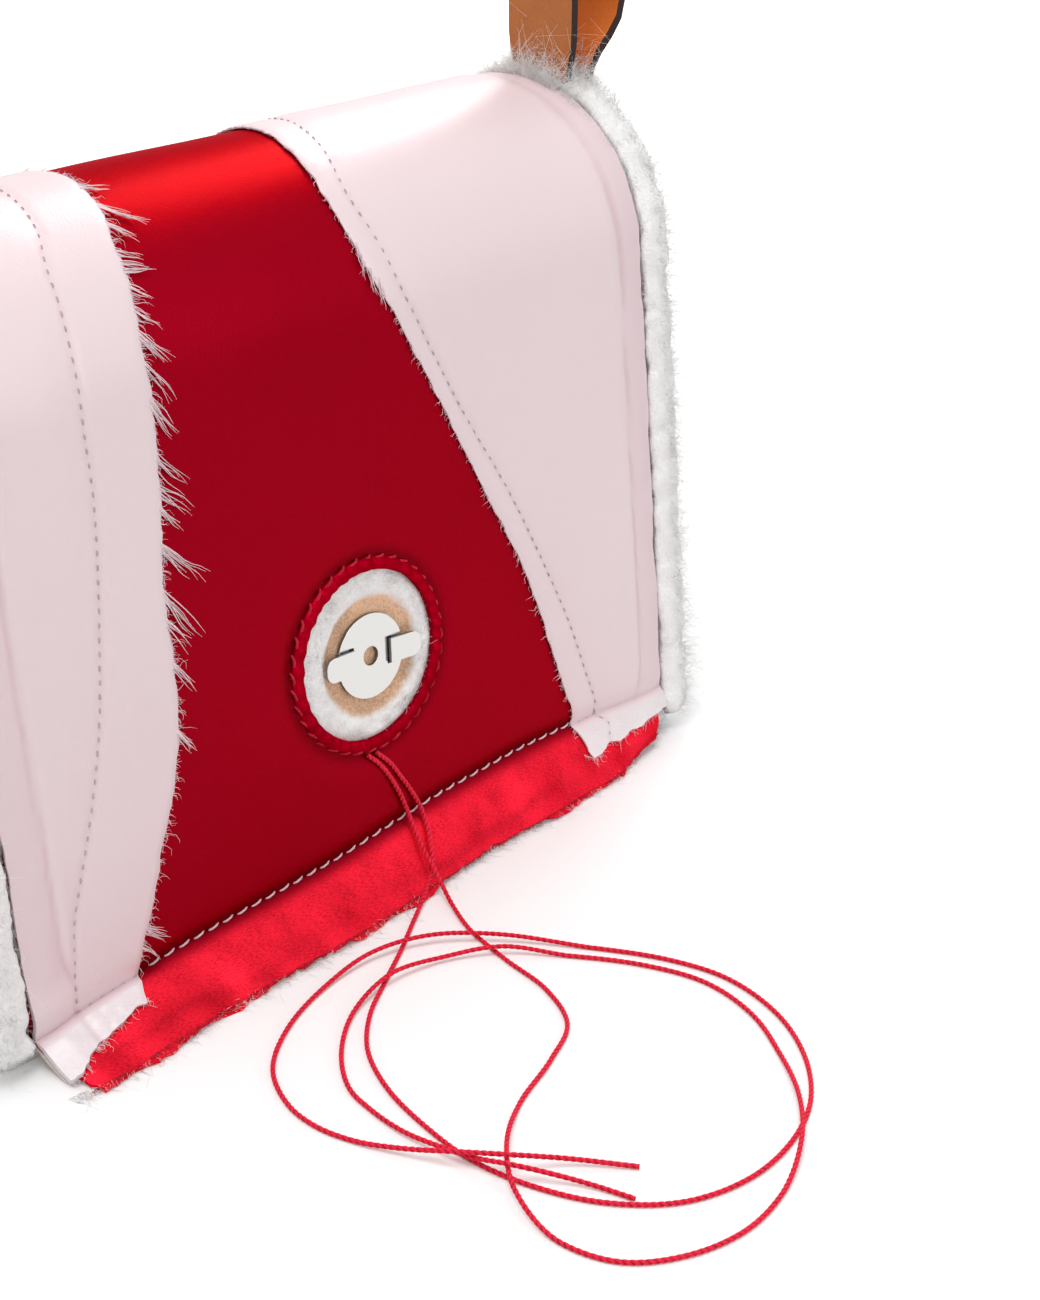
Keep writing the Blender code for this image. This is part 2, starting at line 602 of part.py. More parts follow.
def slab(name, left, right, front, back, low, high, finish):
    shape = bmesh.new()
    corners = bmesh.ops.create_cube(shape, size=1.0)["verts"]
    for vertex in corners:
        vertex.co.x = left if vertex.co.x < 0.0 else right
        vertex.co.y = front if vertex.co.y < 0.0 else back
        vertex.co.z = low if vertex.co.z < 0.0 else high
    return add_object(name, shape, finish)


def rounded_slab(name, half_width, half_depth, low, high, radius, finish):
    item = slab(name, -half_width, half_width, -half_depth, half_depth, low, high, finish)
    bevel = item.modifiers.new("soft_edges", "BEVEL")
    bevel.width = radius
    bevel.segments = 2
    bevel.limit_method = "ANGLE"
    return item


def make_lining(low, slope, finish):
    """Open pouch with leaning front and back walls, one wall thick all round."""
    front_n = PANEL_BOTTOM_N - 2.0 * GAP - WASHER_THICK - 2.0 * PRONG_THICK - GAP
    half = BODY_HALF_WIDTH - GAP
    seam_half_depth = -outside(0.0, 0.0)[0]

    def section(wall, z):
        lean_in = (z - SEAM_Z) * slope
        front = -seam_half_depth + (-front_n + wall) / math.cos(LEAN) + lean_in
        back = seam_half_depth - (BACK_THICK + GAP + wall) / math.cos(LEAN) - lean_in
        side = half - wall
        return [(-side, front, z), (side, front, z), (side, back, z), (-side, back, z)]

    loops = (
        section(0.0, low), section(0.0, LINING_TOP_Z),
        section(LINING_THICK, LINING_TOP_Z), section(LINING_THICK, low + LINING_THICK),
    )
    shape = bmesh.new()
    rings = [[shape.verts.new(corner) for corner in loop] for loop in loops]
    for first, second in zip(rings, rings[1:]):
        for k in range(4):
            after = (k + 1) % 4
            shape.faces.new((first[k], first[after], second[after], second[k]))
    shape.faces.new(rings[0])
    shape.faces.new(rings[-1])
    return add_object("pouch_lining", shape, finish)


def strap_path(leg_x, bow):
    """Stations (x, z, half width) of a leather layer, from the left leg's tip over the arch to the right."""
    top_x = STRAP_MID_X + math.copysign((STRAP_THICK + GAP) / 2.0, leg_x - STRAP_MID_X)
    tip_z = PIN_Z - LEG_TIP
    gusset_top = PIN_Z + PIN_BELOW_TOP
    fork_z = PIN_Z + FORK_DEPTH
    arch_z = PIN_Z + STRAP_RISE
    heights = [tip_z, tip_z + 0.0008, tip_z + 0.0025, tip_z + 0.0055, PIN_Z]
    heights += [gusset_top + 0.0275 * k / 8 for k in range(9)]
    heights += [fork_z + FORK_BLEND * k / 6 for k in range(1, 7)]
    heights += [fork_z + FORK_BLEND + (arch_z - fork_z - FORK_BLEND) * k / 2 for k in (1, 2)]
    leg = []
    for z in heights:
        x = leg_x + bow * smooth_step(z, gusset_top, gusset_top + 0.013)
        x += (top_x - leg_x - bow) * smooth_step(z, fork_z, fork_z + FORK_BLEND)
        widen = 0.55 * math.sqrt(smooth_step(z, tip_z, tip_z + 0.0075))
        widen += 0.45 * smooth_step(z, PIN_Z, PIN_Z + 0.018)
        half = LEG_TIP_HALF_WIDTH + (STRAP_HALF_WIDTH - LEG_TIP_HALF_WIDTH) * widen
        leg.append((x, z, half))
    arch_steps = 28
    arch = []
    for k in range(1, arch_steps):
        angle = math.pi * k / arch_steps
        arch.append((-top_x * math.cos(angle), arch_z + top_x * math.sin(angle), STRAP_HALF_WIDTH))
    return [(-x, z, half) for x, z, half in leg] + arch + leg[::-1]


def make_strap_layer(name, leg_x, bow, finish):
    """Flat leather carried along the strap's path, with its width along Y."""
    stations = strap_path(leg_x, bow)
    shape = bmesh.new()
    rings = []
    last = len(stations) - 1
    for k, (x, z, half) in enumerate(stations):
        before = stations[max(k - 1, 0)]
        after = stations[min(k + 1, last)]
        run = Vector((after[0] - before[0], after[1] - before[1])).normalized()
        off_x = -run.y * STRAP_THICK / 2.0
        off_z = run.x * STRAP_THICK / 2.0
        ring = []
        for out, wide in ((1.0, -1.0), (1.0, 1.0), (-1.0, 1.0), (-1.0, -1.0)):
            ring.append(shape.verts.new((x + out * off_x, STRAP_Y + wide * half, z + out * off_z)))
        rings.append(ring)
    for first, second in zip(rings, rings[1:]):
        for k in range(4):
            after = (k + 1) % 4
            shape.faces.new((first[k], first[after], second[after], second[k]))
    shape.faces.new(rings[0])
    shape.faces.new(rings[-1])
    layer = add_object(name, shape, finish)
    for side, label in ((-1.0, "left"), (1.0, "right")):
        combine(layer, pin_cutter(f"{name}_pin_cutter_{label}", side), "DIFFERENCE")
    return layer


def smooth_route(points):
    """Centripetal curve through the route's points, read at even distances and never below the floor."""
    route = [Vector(point) / 1000.0 for point in points]
    route = [2.0 * route[0] - route[1], *route, 2.0 * route[-1] - route[-2]]
    times = [0.0]
    for a, b in zip(route, route[1:]):
        times.append(times[-1] + math.sqrt((b - a).length))
    fine = []
    steps = 24
    for k in range(1, len(route) - 2):
        p = route[k - 1:k + 3]
        t = times[k - 1:k + 3]
        for step in range(steps):
            u = t[1] + (t[2] - t[1]) * step / steps
            first = [p[i].lerp(p[i + 1], (u - t[i]) / (t[i + 1] - t[i])) for i in range(3)]
            second = [first[i].lerp(first[i + 1], (u - t[i]) / (t[i + 2] - t[i])) for i in range(2)]
            fine.append(second[0].lerp(second[1], (u - t[1]) / (t[2] - t[1])))
    fine.append(route[-2])
    for point in fine:
        point.z = max(point.z, THREAD_RADIUS + GAP / 6.0)
    reach = [0.0]
    for a, b in zip(fine, fine[1:]):
        reach.append(reach[-1] + (b - a).length)
    stations = []
    index = 0
    for k in range(THREAD_STATIONS):
        goal = reach[-1] * k / (THREAD_STATIONS - 1)
        while index < len(fine) - 2 and reach[index + 1] < goal:
            index += 1
        share = (goal - reach[index]) / (reach[index + 1] - reach[index])
        stations.append(fine[index].lerp(fine[index + 1], min(share, 1.0)))
    return stations


def make_thread(name, points, finish):
    curve = bpy.data.curves.new(name, "CURVE")
    curve.dimensions = "3D"
    curve.bevel_depth = THREAD_RADIUS
    curve.bevel_resolution = 2
    curve.use_fill_caps = True
    stations = smooth_route(points)
    spline = curve.splines.new("POLY")
    spline.points.add(len(stations) - 1)
    for point, place in zip(spline.points, stations):
        point.co = (*place, 1.0)
    curve.materials.append(finish)
    thread = bpy.data.objects.new(name, curve)
    bpy.context.scene.collection.objects.link(thread)
    return thread


def make_rivet(label, side, finish):
    """Rivet through both strap legs and the gusset, with a flat inner head and a low domed outer head."""
    inner = INNER_LEG_X - STRAP_THICK / 2.0 - GAP - STRAP_MID_X
    outer = OUTER_LEG_X + STRAP_THICK / 2.0 + GAP - STRAP_MID_X
    profile = [
        (0.0, inner - PIN_HEAD_THICK), (PIN_HEAD_RADIUS, inner - PIN_HEAD_THICK), (PIN_HEAD_RADIUS, inner),
        (PIN_RADIUS, inner), (PIN_RADIUS, outer), (PIN_HEAD_RADIUS, outer),
        (PIN_HEAD_RADIUS * 0.7, outer + PIN_HEAD_THICK), (0.0, outer + PIN_HEAD_THICK * 1.4),
    ]
    return turned(f"strap_rivet_{label}", profile, 24, pin_frame(side), finish)


def main():
    clear_scene()
    finishes = {
        "red": material("red_satin", (0.42, 0.004, 0.018), 0.38),
        "pink": material("pink_satin", (0.80, 0.66, 0.69), 0.42),
        "fleece": material("white_shearling", (0.86, 0.84, 0.81), 0.95),
        "lining": material("tan_suede", (0.60, 0.40, 0.24), 0.90),
        "board": material("grey_board", (0.45, 0.42, 0.38), 0.85),
        "nickel": material("polished_nickel", (0.82, 0.81, 0.79), 0.18, 1.0),
        "magnet": material("dark_magnet", (0.10, 0.10, 0.11), 0.55),
        "leather": material("tan_leather", (0.39, 0.14, 0.04), 0.45),
        "thread": material("red_thread", (0.62, 0.01, 0.06), 0.60),
    }
    flap_hinge = bpy.data.objects.new("flap_hinge", None)
    flap_hinge.location = (0.0, *outside(ROOT_S, 0.0))
    strap_pivot = bpy.data.objects.new("strap_pivot", None)
    strap_pivot.location = (0.0, STRAP_Y, PIN_Z)
    for empty in (flap_hinge, strap_pivot):
        bpy.context.scene.collection.objects.link(empty)

    front_panel, _ = make_body(finishes)
    layers = make_flap_layers(finishes)
    flap_hardware, _ = make_snap(finishes, layers, front_panel)
    threads = [
        make_thread("loose_thread_a", THREAD_A_ROUTE, finishes["thread"]),
        make_thread("loose_thread_b", THREAD_B_ROUTE, finishes["thread"]),
    ]
    strap = [
        make_strap_layer("strap_inner_layer", INNER_LEG_X, 0.0, finishes["leather"]),
        make_strap_layer("strap_outer_layer", OUTER_LEG_X, LEG_BOW, finishes["leather"]),
    ]
    make_rivet("left", -1.0, finishes["nickel"])
    make_rivet("right", 1.0, finishes["nickel"])
    for item in layers + flap_hardware + threads:
        parent_keep_place(item, flap_hinge)
    for item in strap:
        parent_keep_place(item, strap_pivot)


main()
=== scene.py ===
"""Looks of a small shearling shoulder bag: satin faced flap, woolly gussets, leather strap, loose threads.

Lengths are metres unless a name says millimetres. A place on the bag's outside is (x, s, n): x runs across
it, s runs up the front, over the crown and down the back, and n stands out from the red satin's face.
"""
import math

import bmesh
import bpy
import numpy as np
from mathutils import Matrix, Vector


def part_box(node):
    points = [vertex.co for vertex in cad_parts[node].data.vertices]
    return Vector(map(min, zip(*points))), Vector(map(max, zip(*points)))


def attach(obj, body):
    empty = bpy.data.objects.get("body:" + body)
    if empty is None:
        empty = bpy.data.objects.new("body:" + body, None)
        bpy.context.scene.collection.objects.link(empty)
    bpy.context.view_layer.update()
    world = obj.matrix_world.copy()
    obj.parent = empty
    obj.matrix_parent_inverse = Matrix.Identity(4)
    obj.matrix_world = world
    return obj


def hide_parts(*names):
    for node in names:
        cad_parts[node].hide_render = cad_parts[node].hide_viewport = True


bl_info = {
    "name": "Shearling Shoulder Bag",
    "version": (1, 0, 0),
    "blender": (4, 5, 0),
    "location": "3D View > Sidebar > Bag",
    "description": "Dresses a small shoulder bag in satin, wool, leather and thread",
    "category": "Object",
}

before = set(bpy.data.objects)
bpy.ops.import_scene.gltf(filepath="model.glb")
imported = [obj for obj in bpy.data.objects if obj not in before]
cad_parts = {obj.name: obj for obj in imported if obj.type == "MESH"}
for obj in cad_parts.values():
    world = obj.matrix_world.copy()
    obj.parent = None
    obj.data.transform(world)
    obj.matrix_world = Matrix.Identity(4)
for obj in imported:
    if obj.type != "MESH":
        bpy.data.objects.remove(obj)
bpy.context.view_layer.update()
COVER_LOW, COVER_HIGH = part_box("red_satin_cover")
GUSSET_LOW, GUSSET_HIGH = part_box("gusset_right")
STRAP_LOW, STRAP_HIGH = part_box("strap_outer_layer")
BASE_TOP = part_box("base_panel")[1].z + 0.0003
MM = 0.001

# Bottom seam of the flap: (x, s) in millimetres
SEAM = [
    (-92, -5.0), (-85, -3.7), (-77, -2.6), (-68, -1.9), (-51, -0.9), (-38, -0.5), (-25, -0.2), (-11, 0.4),
    (4, 1.8), (16, 2.8), (28, 3.3), (41, 3.7), (54, 3.4), (67, 3.2), (79, 2.4), (92, 1.6),
]
# Where the hem's low edge comes forward to: (x, y) in millimetres
HEM_FRONT = [
    (-92, -59.4), (-82, -60.0), (-68, -59.2), (-52, -58.0), (-37, -58.0), (-24, -58.0), (-9, -57.0), (8, -55.6),
    (26, -54.2), (41, -54.4), (52, -53.7), (66, -53.2), (75, -51.4), (92, -48.0),
]
# Raw edges of the pink panels, (x, s) in millimetres from the seam to the end of the flap
LEFT_EDGE = [
    (0, -65.6), (6, -63.4), (12, -60.3), (21, -56.9), (30, -53.1), (41, -49.6), (56.5, -48.4), (68.4, -48.4),
    (79.9, -47.3), (90, -46.0), (105.8, -45.3), (118, -44.7), (126.4, -42.9), (133, -41.6), (144, -37.8),
    (158, -36.0), (180, -37.0), (210, -38.5),
]
RIGHT_EDGE = [
    (0, 58.6), (5.5, 58.4), (15.6, 55.5), (31.2, 51.0), (47.3, 45.0), (60.5, 38.5), (83, 27.6), (105.3, 16.4),
    (113.2, 12.6), (122, 9.6), (131, 8.6), (142, 9.8), (156, 12.0), (175, 14.5), (210, 16.5),
]
# How far the pink hems hang below the seam: (x, depth) in millimetres
LEFT_HEM = [(-92, 12.6), (-86, 11.2), (-82, 9.4), (-77, 8.2), (-73, 7.0), (-70, 6.2), (-68, 6.6), (-66, 5.2)]
RIGHT_HEM = [(57, 6.5), (60, 9.3), (62, 9.6), (64.5, 8.9), (67.3, 7.6), (70, 8.6), (75, 8.1), (79, 7.9), (92, 6.8)]
# Stitch lines of the two pink panels, (s, x) in millimetres
LEFT_STITCH = [
    (-2, -80.4), (8, -79.6), (16, -78.2), (23, -75.6), (37, -70.4), (51.6, -66.3), (66.3, -63.8), (80.8, -61.7),
    (93.5, -60.6), (106, -60.5), (118, -59.6), (127, -58.0), (133, -56.7), (140, -53.7), (155, -50.5),
    (175, -50), (206, -51),
]
RIGHT_STITCH = [
    (-4.5, 67.6), (0, 69), (3.2, 66.6), (7, 66.0), (11, 64.7), (16.7, 62.8), (26.2, 59.8), (45.3, 51.7),
    (66.5, 41.2), (84.3, 31.1), (103, 21.8), (112, 17.8), (120.4, 15.6), (133, 13.9), (145, 17.4), (160, 21.4),
    (178, 25), (206, 28),
]
# Fringe on the left panel: root (x, s) and tip (x, s) in millimetres
TUFTS = [
    ((-37.8, 144.3), (-31.9, 136.6)), ((-39.2, 139.5), (-35.9, 133.7)), ((-41.7, 132.8), (-37.7, 129.8)),
    ((-42.3, 129.2), (-37.5, 127.8)), ((-42.8, 126.4), (-39.5, 122.8)), ((-43.9, 122.3), (-40.0, 117.9)),
    ((-44.8, 118.0), (-40.6, 111.6)), ((-45.2, 113.1), (-41.5, 105.5)), ((-45.3, 106.4), (-41.5, 98.4)),
    ((-45.7, 95.8), (-40.0, 88.7)), ((-46.0, 90.0), (-40.1, 83.9)), ((-46.4, 86.7), (-43.3, 81.5)),
    ((-47.3, 79.4), (-40.1, 70.3)), ((-48.2, 71.0), (-42.3, 59.1)), ((-48.4, 65.2), (-44.2, 59.3)),
    ((-48.4, 57.0), (-44.6, 49.5)), ((-49.2, 44.0), (-46.6, 38.5)), ((-62.8, 8.0), (-58.6, 3.5)),
    ((-64.2, 4.5), (-60.8, 0.2)), ((-37.2, 151.0), (-33.6, 147.0)), ((9.3, 122.5), (8.9, 116.5)),
    ((10.2, 119.5), (10.4, 113.0)), ((11.6, 116.0), (12.2, 110.5)),
]
# Loose threads, from the window's rim to the cut end, in metres
THREAD_A = [
    (-0.0012, -0.0435, 0.0299), (0.0019, -0.0439, 0.0266), (0.0047, -0.0443, 0.0222),
    (0.0076, -0.0448, 0.0172), (0.0096, -0.0453, 0.0126), (0.0092, -0.0474, 0.0089),
    (0.0072, -0.0504, 0.0060), (0.0046, -0.0532, 0.0035), (-0.0010, -0.0566, 0.0017),
    (-0.0083, -0.0608, 0.00055), (-0.0180, -0.0668, 0.00055), (-0.0284, -0.0727, 0.00055),
    (-0.0375, -0.0782, 0.00055), (-0.0455, -0.0860, 0.00055), (-0.0510, -0.0970, 0.00055),
    (-0.0540, -0.1100, 0.00055), (-0.0550, -0.1220, 0.00055), (-0.0528, -0.1345, 0.00055),
    (-0.0475, -0.1463, 0.00055), (-0.0385, -0.1556, 0.00055), (-0.0265, -0.1600, 0.00055),
    (-0.0140, -0.1596, 0.00055), (-0.0020, -0.1553, 0.00055), (0.0084, -0.1465, 0.00055),
    (0.0158, -0.1345, 0.00055), (0.0186, -0.1205, 0.00055), (0.0158, -0.1080, 0.00055),
    (0.0082, -0.0934, 0.00055), (-0.0020, -0.0786, 0.0019), (-0.0120, -0.0690, 0.0022),
    (-0.0240, -0.0646, 0.0019), (-0.0380, -0.0654, 0.0007), (-0.0515, -0.0702, 0.00055),
    (-0.0615, -0.0776, 0.00055), (-0.0664, -0.0874, 0.00055), (-0.0671, -0.0957, 0.00055),
    (-0.0653, -0.1034, 0.0006), (-0.0618, -0.1120, 0.0016), (-0.0580, -0.1197, 0.0030),
    (-0.0523, -0.1278, 0.0034), (-0.0442, -0.1349, 0.0016), (-0.0366, -0.1443, 0.00055),
]
THREAD_B = [
    (-0.0036, -0.0434, 0.0302), (-0.0008, -0.0438, 0.0272), (0.0019, -0.0442, 0.0230),
    (0.0042, -0.0447, 0.0180), (0.0058, -0.0451, 0.0134), (0.0058, -0.0472, 0.0096),
    (0.0050, -0.0502, 0.0070), (0.0037, -0.0546, 0.0046), (0.0024, -0.0582, 0.0028),
    (0.0004, -0.0628, 0.0013), (-0.0034, -0.0720, 0.00055), (-0.0062, -0.0845, 0.00055),
    (-0.0083, -0.0970, 0.00055), (-0.0140, -0.1076, 0.00055), (-0.0245, -0.1128, 0.00055),
    (-0.0386, -0.1177, 0.00055), (-0.0490, -0.1246, 0.0020), (-0.0570, -0.1340, 0.0020),
    (-0.0602, -0.1460, 0.0006), (-0.0572, -0.1570, 0.00055), (-0.0490, -0.1640, 0.00055),
    (-0.0375, -0.1676, 0.00055), (-0.0250, -0.1664, 0.00055), (-0.0128, -0.1612, 0.0019),
    (-0.0025, -0.1530, 0.0016), (0.0066, -0.1416, 0.00055), (0.0126, -0.1306, 0.00055),
    (0.0146, -0.1180, 0.00055), (0.0110, -0.1056, 0.00055), (0.0032, -0.0924, 0.00055),
    (-0.0048, -0.0822, 0.0020), (-0.0145, -0.0756, 0.0013), (-0.0265, -0.0729, 0.0021),
    (-0.0385, -0.0752, 0.0009), (-0.0490, -0.0826, 0.00055), (-0.0556, -0.0917, 0.00055),
    (-0.0572, -0.0987, 0.00055), (-0.0579, -0.1080, 0.0009), (-0.0571, -0.1166, 0.0017),
    (-0.0556, -0.1230, 0.00205), (-0.0540, -0.1294, 0.0033), (-0.0502, -0.1348, 0.0022),
    (-0.0459, -0.1418, 0.0008), (-0.0435, -0.1491, 0.00055),
]


def length(name, text, default):
    return bpy.props.FloatProperty(name=name, description=text, default=default, unit="LENGTH", precision=5)


def colour(name, text, default):
    return bpy.props.FloatVectorProperty(
        name=name, description=text, default=default, subtype="COLOR", size=3, min=0.0, max=1.0)


class BagForm(bpy.types.PropertyGroup):
    """Sizes that carry the bag's looks"""

    lean: bpy.props.FloatProperty(
        name="Lean", description="How far the front and back lean in", default=math.radians(5.4),
        subtype="ANGLE")
    crown_radius: length("Crown radius", "Radius of the rounded top", 0.0347)
    crown_height: length("Crown height", "Height of the top's centre line", COVER_HIGH.z - 0.0347)
    seam_height: length("Seam height", "Height of the bottom seam over the floor", 0.0100)
    half_width: length("Half width", "Half the flap's width", (COVER_HIGH.x - COVER_LOW.x) / 2.0)
    satin: length("Satin", "Thickness of the red satin with its backing", 0.0008)
    pile: length("Pile", "Thickness of the flap's shearling", 0.0040)
    gap: length("Gap", "Clearance between layers", 0.0003)
    hem_run: length("Hem", "Depth of the red hem below the seam", 0.0155)
    window_height: length("Window height", "Height of the window's centre up the front", 0.0410)
    window_radius: length("Window radius", "Radius of the cut window", 0.0180)
    snap_x: length("Snap across", "Place of the snap across the flap", 0.0013)
    snap_height: length("Snap height", "Place of the snap up the front", 0.0402)
    shaved: length("Shaved skin", "Depth of the shaved skin under the satin's face", 0.0019)
    washer_radius: length("Washer", "Radius of the snap's washer", 0.0090)
    thread: length("Thread", "Diameter of the loose threads", 0.0010)
    twist: length("Twist", "Length of one turn of the thread's strands", 0.0026)
    strap_thickness: length("Strap thickness", "Thickness of one leather layer", 0.0022)


class BagColours(bpy.types.PropertyGroup):
    """Colours of the bag's materials"""

    red: colour("Red satin", "Satin of the front", (0.335, 0.0002, 0.0110))
    # The red hem's colour is far lighter than the face's red: painted light for the light that falls on the hem as it
    # faces up.
    hem: colour("Red hem", "Satin of the raw hem, which catches more light", (0.90, 0.016, 0.040))
    pink: colour("Pink satin", "Satin of the side panels", (0.800, 0.665, 0.688))
    wool: colour("Wool", "Pile of the shearling", (0.97, 0.965, 0.955))
    suede: colour("Suede", "Skin side of the shearling", (0.92, 0.57, 0.36))
    leather: colour("Leather", "Face of the strap", (0.52, 0.165, 0.040))
    # The outer layer's leather is lighter and more orange than the inner one's: partly its own tone, partly painted
    # light that lifts the shade the inner layer casts on it.
    outer_leather: colour("Outer leather", "Face of the strap's outer layer", (0.78, 0.200, 0.034))
    edge_paint: colour("Edge paint", "Painted edges of the strap", (0.030, 0.011, 0.008))
    nickel: colour("Nickel", "Washers, prongs and rivets", (0.76, 0.755, 0.735))
    thread: colour("Thread", "Loose threads and the window's stitches", (0.86, 0.016, 0.052))
    board: colour("Board", "Stiffener in the base", (0.36, 0.33, 0.29))


def sizes():
    return bpy.context.scene.bag_form


def colours():
    return bpy.context.scene.bag_colours


def through(points, at):
    """Smooth curve through (place, value) points: cubic pieces that meet with central difference slopes."""
    place_at, value = np.array(points, float).T
    slope = np.gradient(value, place_at)
    k = np.clip(np.searchsorted(place_at, at) - 1, 0, len(place_at) - 2)
    width = place_at[k + 1] - place_at[k]
    t = np.clip((at - place_at[k]) / width, 0.0, 1.0)
    rise = 3.0 * t ** 2 - 2.0 * t ** 3
    lead = (t ** 3 - 2.0 * t ** 2 + t) * slope[k] * width
    trail = (t ** 3 - t ** 2) * slope[k + 1] * width
    return (1.0 - rise) * value[k] + rise * value[k + 1] + lead + trail


def ease(value):
    """Smooth step: nought below 0, one above 1, and three squares less two cubes between."""
    t = np.clip(value, 0.0, 1.0)
    return t * t * (3.0 - 2.0 * t)


def bell(value, width):
    """Bell curve of height one: the exponential of minus the square of value over width."""
    return np.exp(-(value / width) ** 2)


def lattice(cell, seed):
    """Random values from 0 to 1 for whole numbered cells, mixed from their three numbers and a seed."""
    mixed = cell.astype(np.uint32) * np.array([73856093, 19349663, 83492791], np.uint32)
    key = mixed[..., 0] ^ mixed[..., 1] ^ mixed[..., 2] ^ np.uint32(seed * 2654435761 % 4294967296)
    key = (key ^ (key >> np.uint32(15))) * np.uint32(2246822519)
    key = (key ^ (key >> np.uint32(13))) * np.uint32(3266489917)
    return (key ^ (key >> np.uint32(16))).astype(float) / 4294967295.0


def noise(points, size, seed):
    """Value noise from -1 to 1: random lattice values a size apart, eased between the eight corners."""
    scaled = points / size
    cell = np.floor(scaled)
    part = scaled - cell
    part = part * part * (3.0 - 2.0 * part)
    total = np.zeros(points.shape[:-1])
    cell = cell.astype(np.int64) + 4096
    for corner in np.ndindex(2, 2, 2):
        step = np.array(corner)
        share = np.where(step == 1, part, 1.0 - part).prod(-1)
        total += share * lattice(cell + step, seed)
    return 2.0 * total - 1.0


def curls(points, size, seed):
    """Curly wool, about 0 to 1: folded value noise, so that round locks stand between sharp creases."""
    bent = points + size * 0.45 * np.stack([noise(points, size, seed + k) for k in (1, 2, 3)], -1)
    coarse = 1.0 - np.abs(noise(bent, size, seed + 4)) * 1.7
    fine = 1.0 - np.abs(noise(bent, size * 0.45, seed + 5)) * 1.7
    return 0.68 * coarse + 0.32 * fine


def seam_at(x):
    return through(SEAM, x / MM) * MM


def front_length():
    form = sizes()
    rise = form.crown_height + form.crown_radius * math.sin(form.lean) - form.seam_height
    return rise / math.cos(form.lean)


def crown_length():
    form = sizes()
    return form.crown_radius * (math.pi - 2.0 * form.lean)


def root_place():
    return front_length() + crown_length()


def body_line(s, n):
    """Y and Z on the plain outside: a leaning line up to the crown, an arc over it, a leaning line down."""
    form = sizes()
    front = front_length()
    crown = crown_length()
    turn = form.lean + np.clip(s - front, 0.0, crown) / form.crown_radius
    below_front = np.minimum(s - front, 0.0)
    below_back = np.maximum(s - front - crown, 0.0)
    y = (below_front + below_back) * math.sin(form.lean)
    z = (below_front - below_back) * math.cos(form.lean)
    reach = form.crown_radius + n
    return y - reach * np.cos(turn), form.crown_height + z + reach * np.sin(turn)


def place(x, s, n):
    """Points on the flap. Above the seam they follow the body's line; below it a quadratic curve flares
    from the seam to the hem's low edge, and the way out turns smoothly from the front's to the hem's."""
    form = sizes()
    x, s, n = np.broadcast_arrays(*[np.asarray(value, float) for value in (x, s, n)])
    seam = seam_at(x)
    y, z = body_line(np.maximum(s, seam), n)
    foot_y, foot_z = body_line(seam, 0.0 * x)
    low_y = through(HEM_FRONT, x / MM) * MM
    low_z = 0.0009
    knee_y = foot_y + 0.28 * (low_y - foot_y)
    knee_z = foot_z + 0.52 * (low_z - foot_z)
    f = np.maximum(seam - s, 0.0) / form.hem_run
    hem_y = (1 - f) ** 2 * foot_y + 2 * f * (1 - f) * knee_y + f ** 2 * low_y
    hem_z = (1 - f) ** 2 * foot_z + 2 * f * (1 - f) * knee_z + f ** 2 * low_z
    run_y = (1 - f) * (knee_y - foot_y) + f * (low_y - knee_y)
    run_z = (1 - f) * (knee_z - foot_z) + f * (low_z - knee_z)
    size = np.hypot(run_y, run_z)
    turned = ease(f / 0.15)
    out_y = -(1 - turned) * math.cos(form.lean) + turned * run_z / size
    out_z = (1 - turned) * math.sin(form.lean) - turned * run_y / size
    size = np.hypot(out_y, out_z)
    on_hem = s < seam
    y = np.where(on_hem, hem_y + n * out_y / size, y)
    z = np.where(on_hem, hem_z + n * out_z / size, z)
    return np.stack([x, y, z], -1)


def crease_at(s):
    """How far out the side creases run: straight, but drawn in a little at the crown and by the seam."""
    return 82.2 * MM - 1.2 * MM * ease((s - 95 * MM) / (40 * MM)) - 2.0 * MM * ease((12 * MM - s) / (12 * MM))


def crease_depth(s):
    return ease((s - 1.0 * MM) / (6.0 * MM)) * ease((root_place() - s) / (20.0 * MM))


def relief(x, s):
    """How far the flap's layers swell or dip together: seams, edges and the window's rim pull in, the hem
    waves, and slow swells cross the cloth. A sum of bell curves and sines."""
    form = sizes()
    seam = seam_at(x)
    above = s - seam
    root = root_place()
    out = -0.95 * MM * np.where(above > 0.0, bell(above, 2.4 * MM), bell(above, 1.1 * MM))
    side = form.half_width - np.abs(x)
    out = out - 0.75 * MM * bell(side, 2.6 * MM)
    out = out - 0.45 * MM * bell(np.abs(x) - crease_at(s), 1.0 * MM) * crease_depth(s)
    radius = np.hypot(x, s - form.window_height)
    angle = np.arctan2(s - form.window_height, x)
    pull = 1.0 + 0.30 * np.sin(2.0 * angle + 0.7) + 0.18 * np.sin(5.0 * angle)
    out = out - 0.42 * MM * bell(radius - 21.2 * MM, 1.7 * MM) * pull
    out = out + 0.34 * MM * bell(radius - 26.5 * MM, 3.4 * MM) * (0.6 + 0.4 * np.sin(angle * 3.0 + 1.0))
    slow = np.sin(x / (13.0 * MM) + s / (31.0 * MM)) * np.sin(s / (17.0 * MM) + 0.8)
    slow = slow + 0.6 * np.sin(x / (7.5 * MM) - s / (11.0 * MM) + 1.1)
    calm = ease(above / (14.0 * MM)) * ease((root - s) / (15.0 * MM))
    out = out + 0.11 * MM * slow * calm
    f = np.maximum(-above, 0.0) / form.hem_run
    wave = np.sin(x / (6.1 * MM) + 0.5) + 0.7 * np.sin(x / (3.3 * MM) + 2.0) + 0.5 * np.sin(x / (2.0 * MM))
    return out + 0.42 * MM * wave * ease(f * 1.3) * (1.0 - 0.45 * ease((f - 0.75) / 0.3))


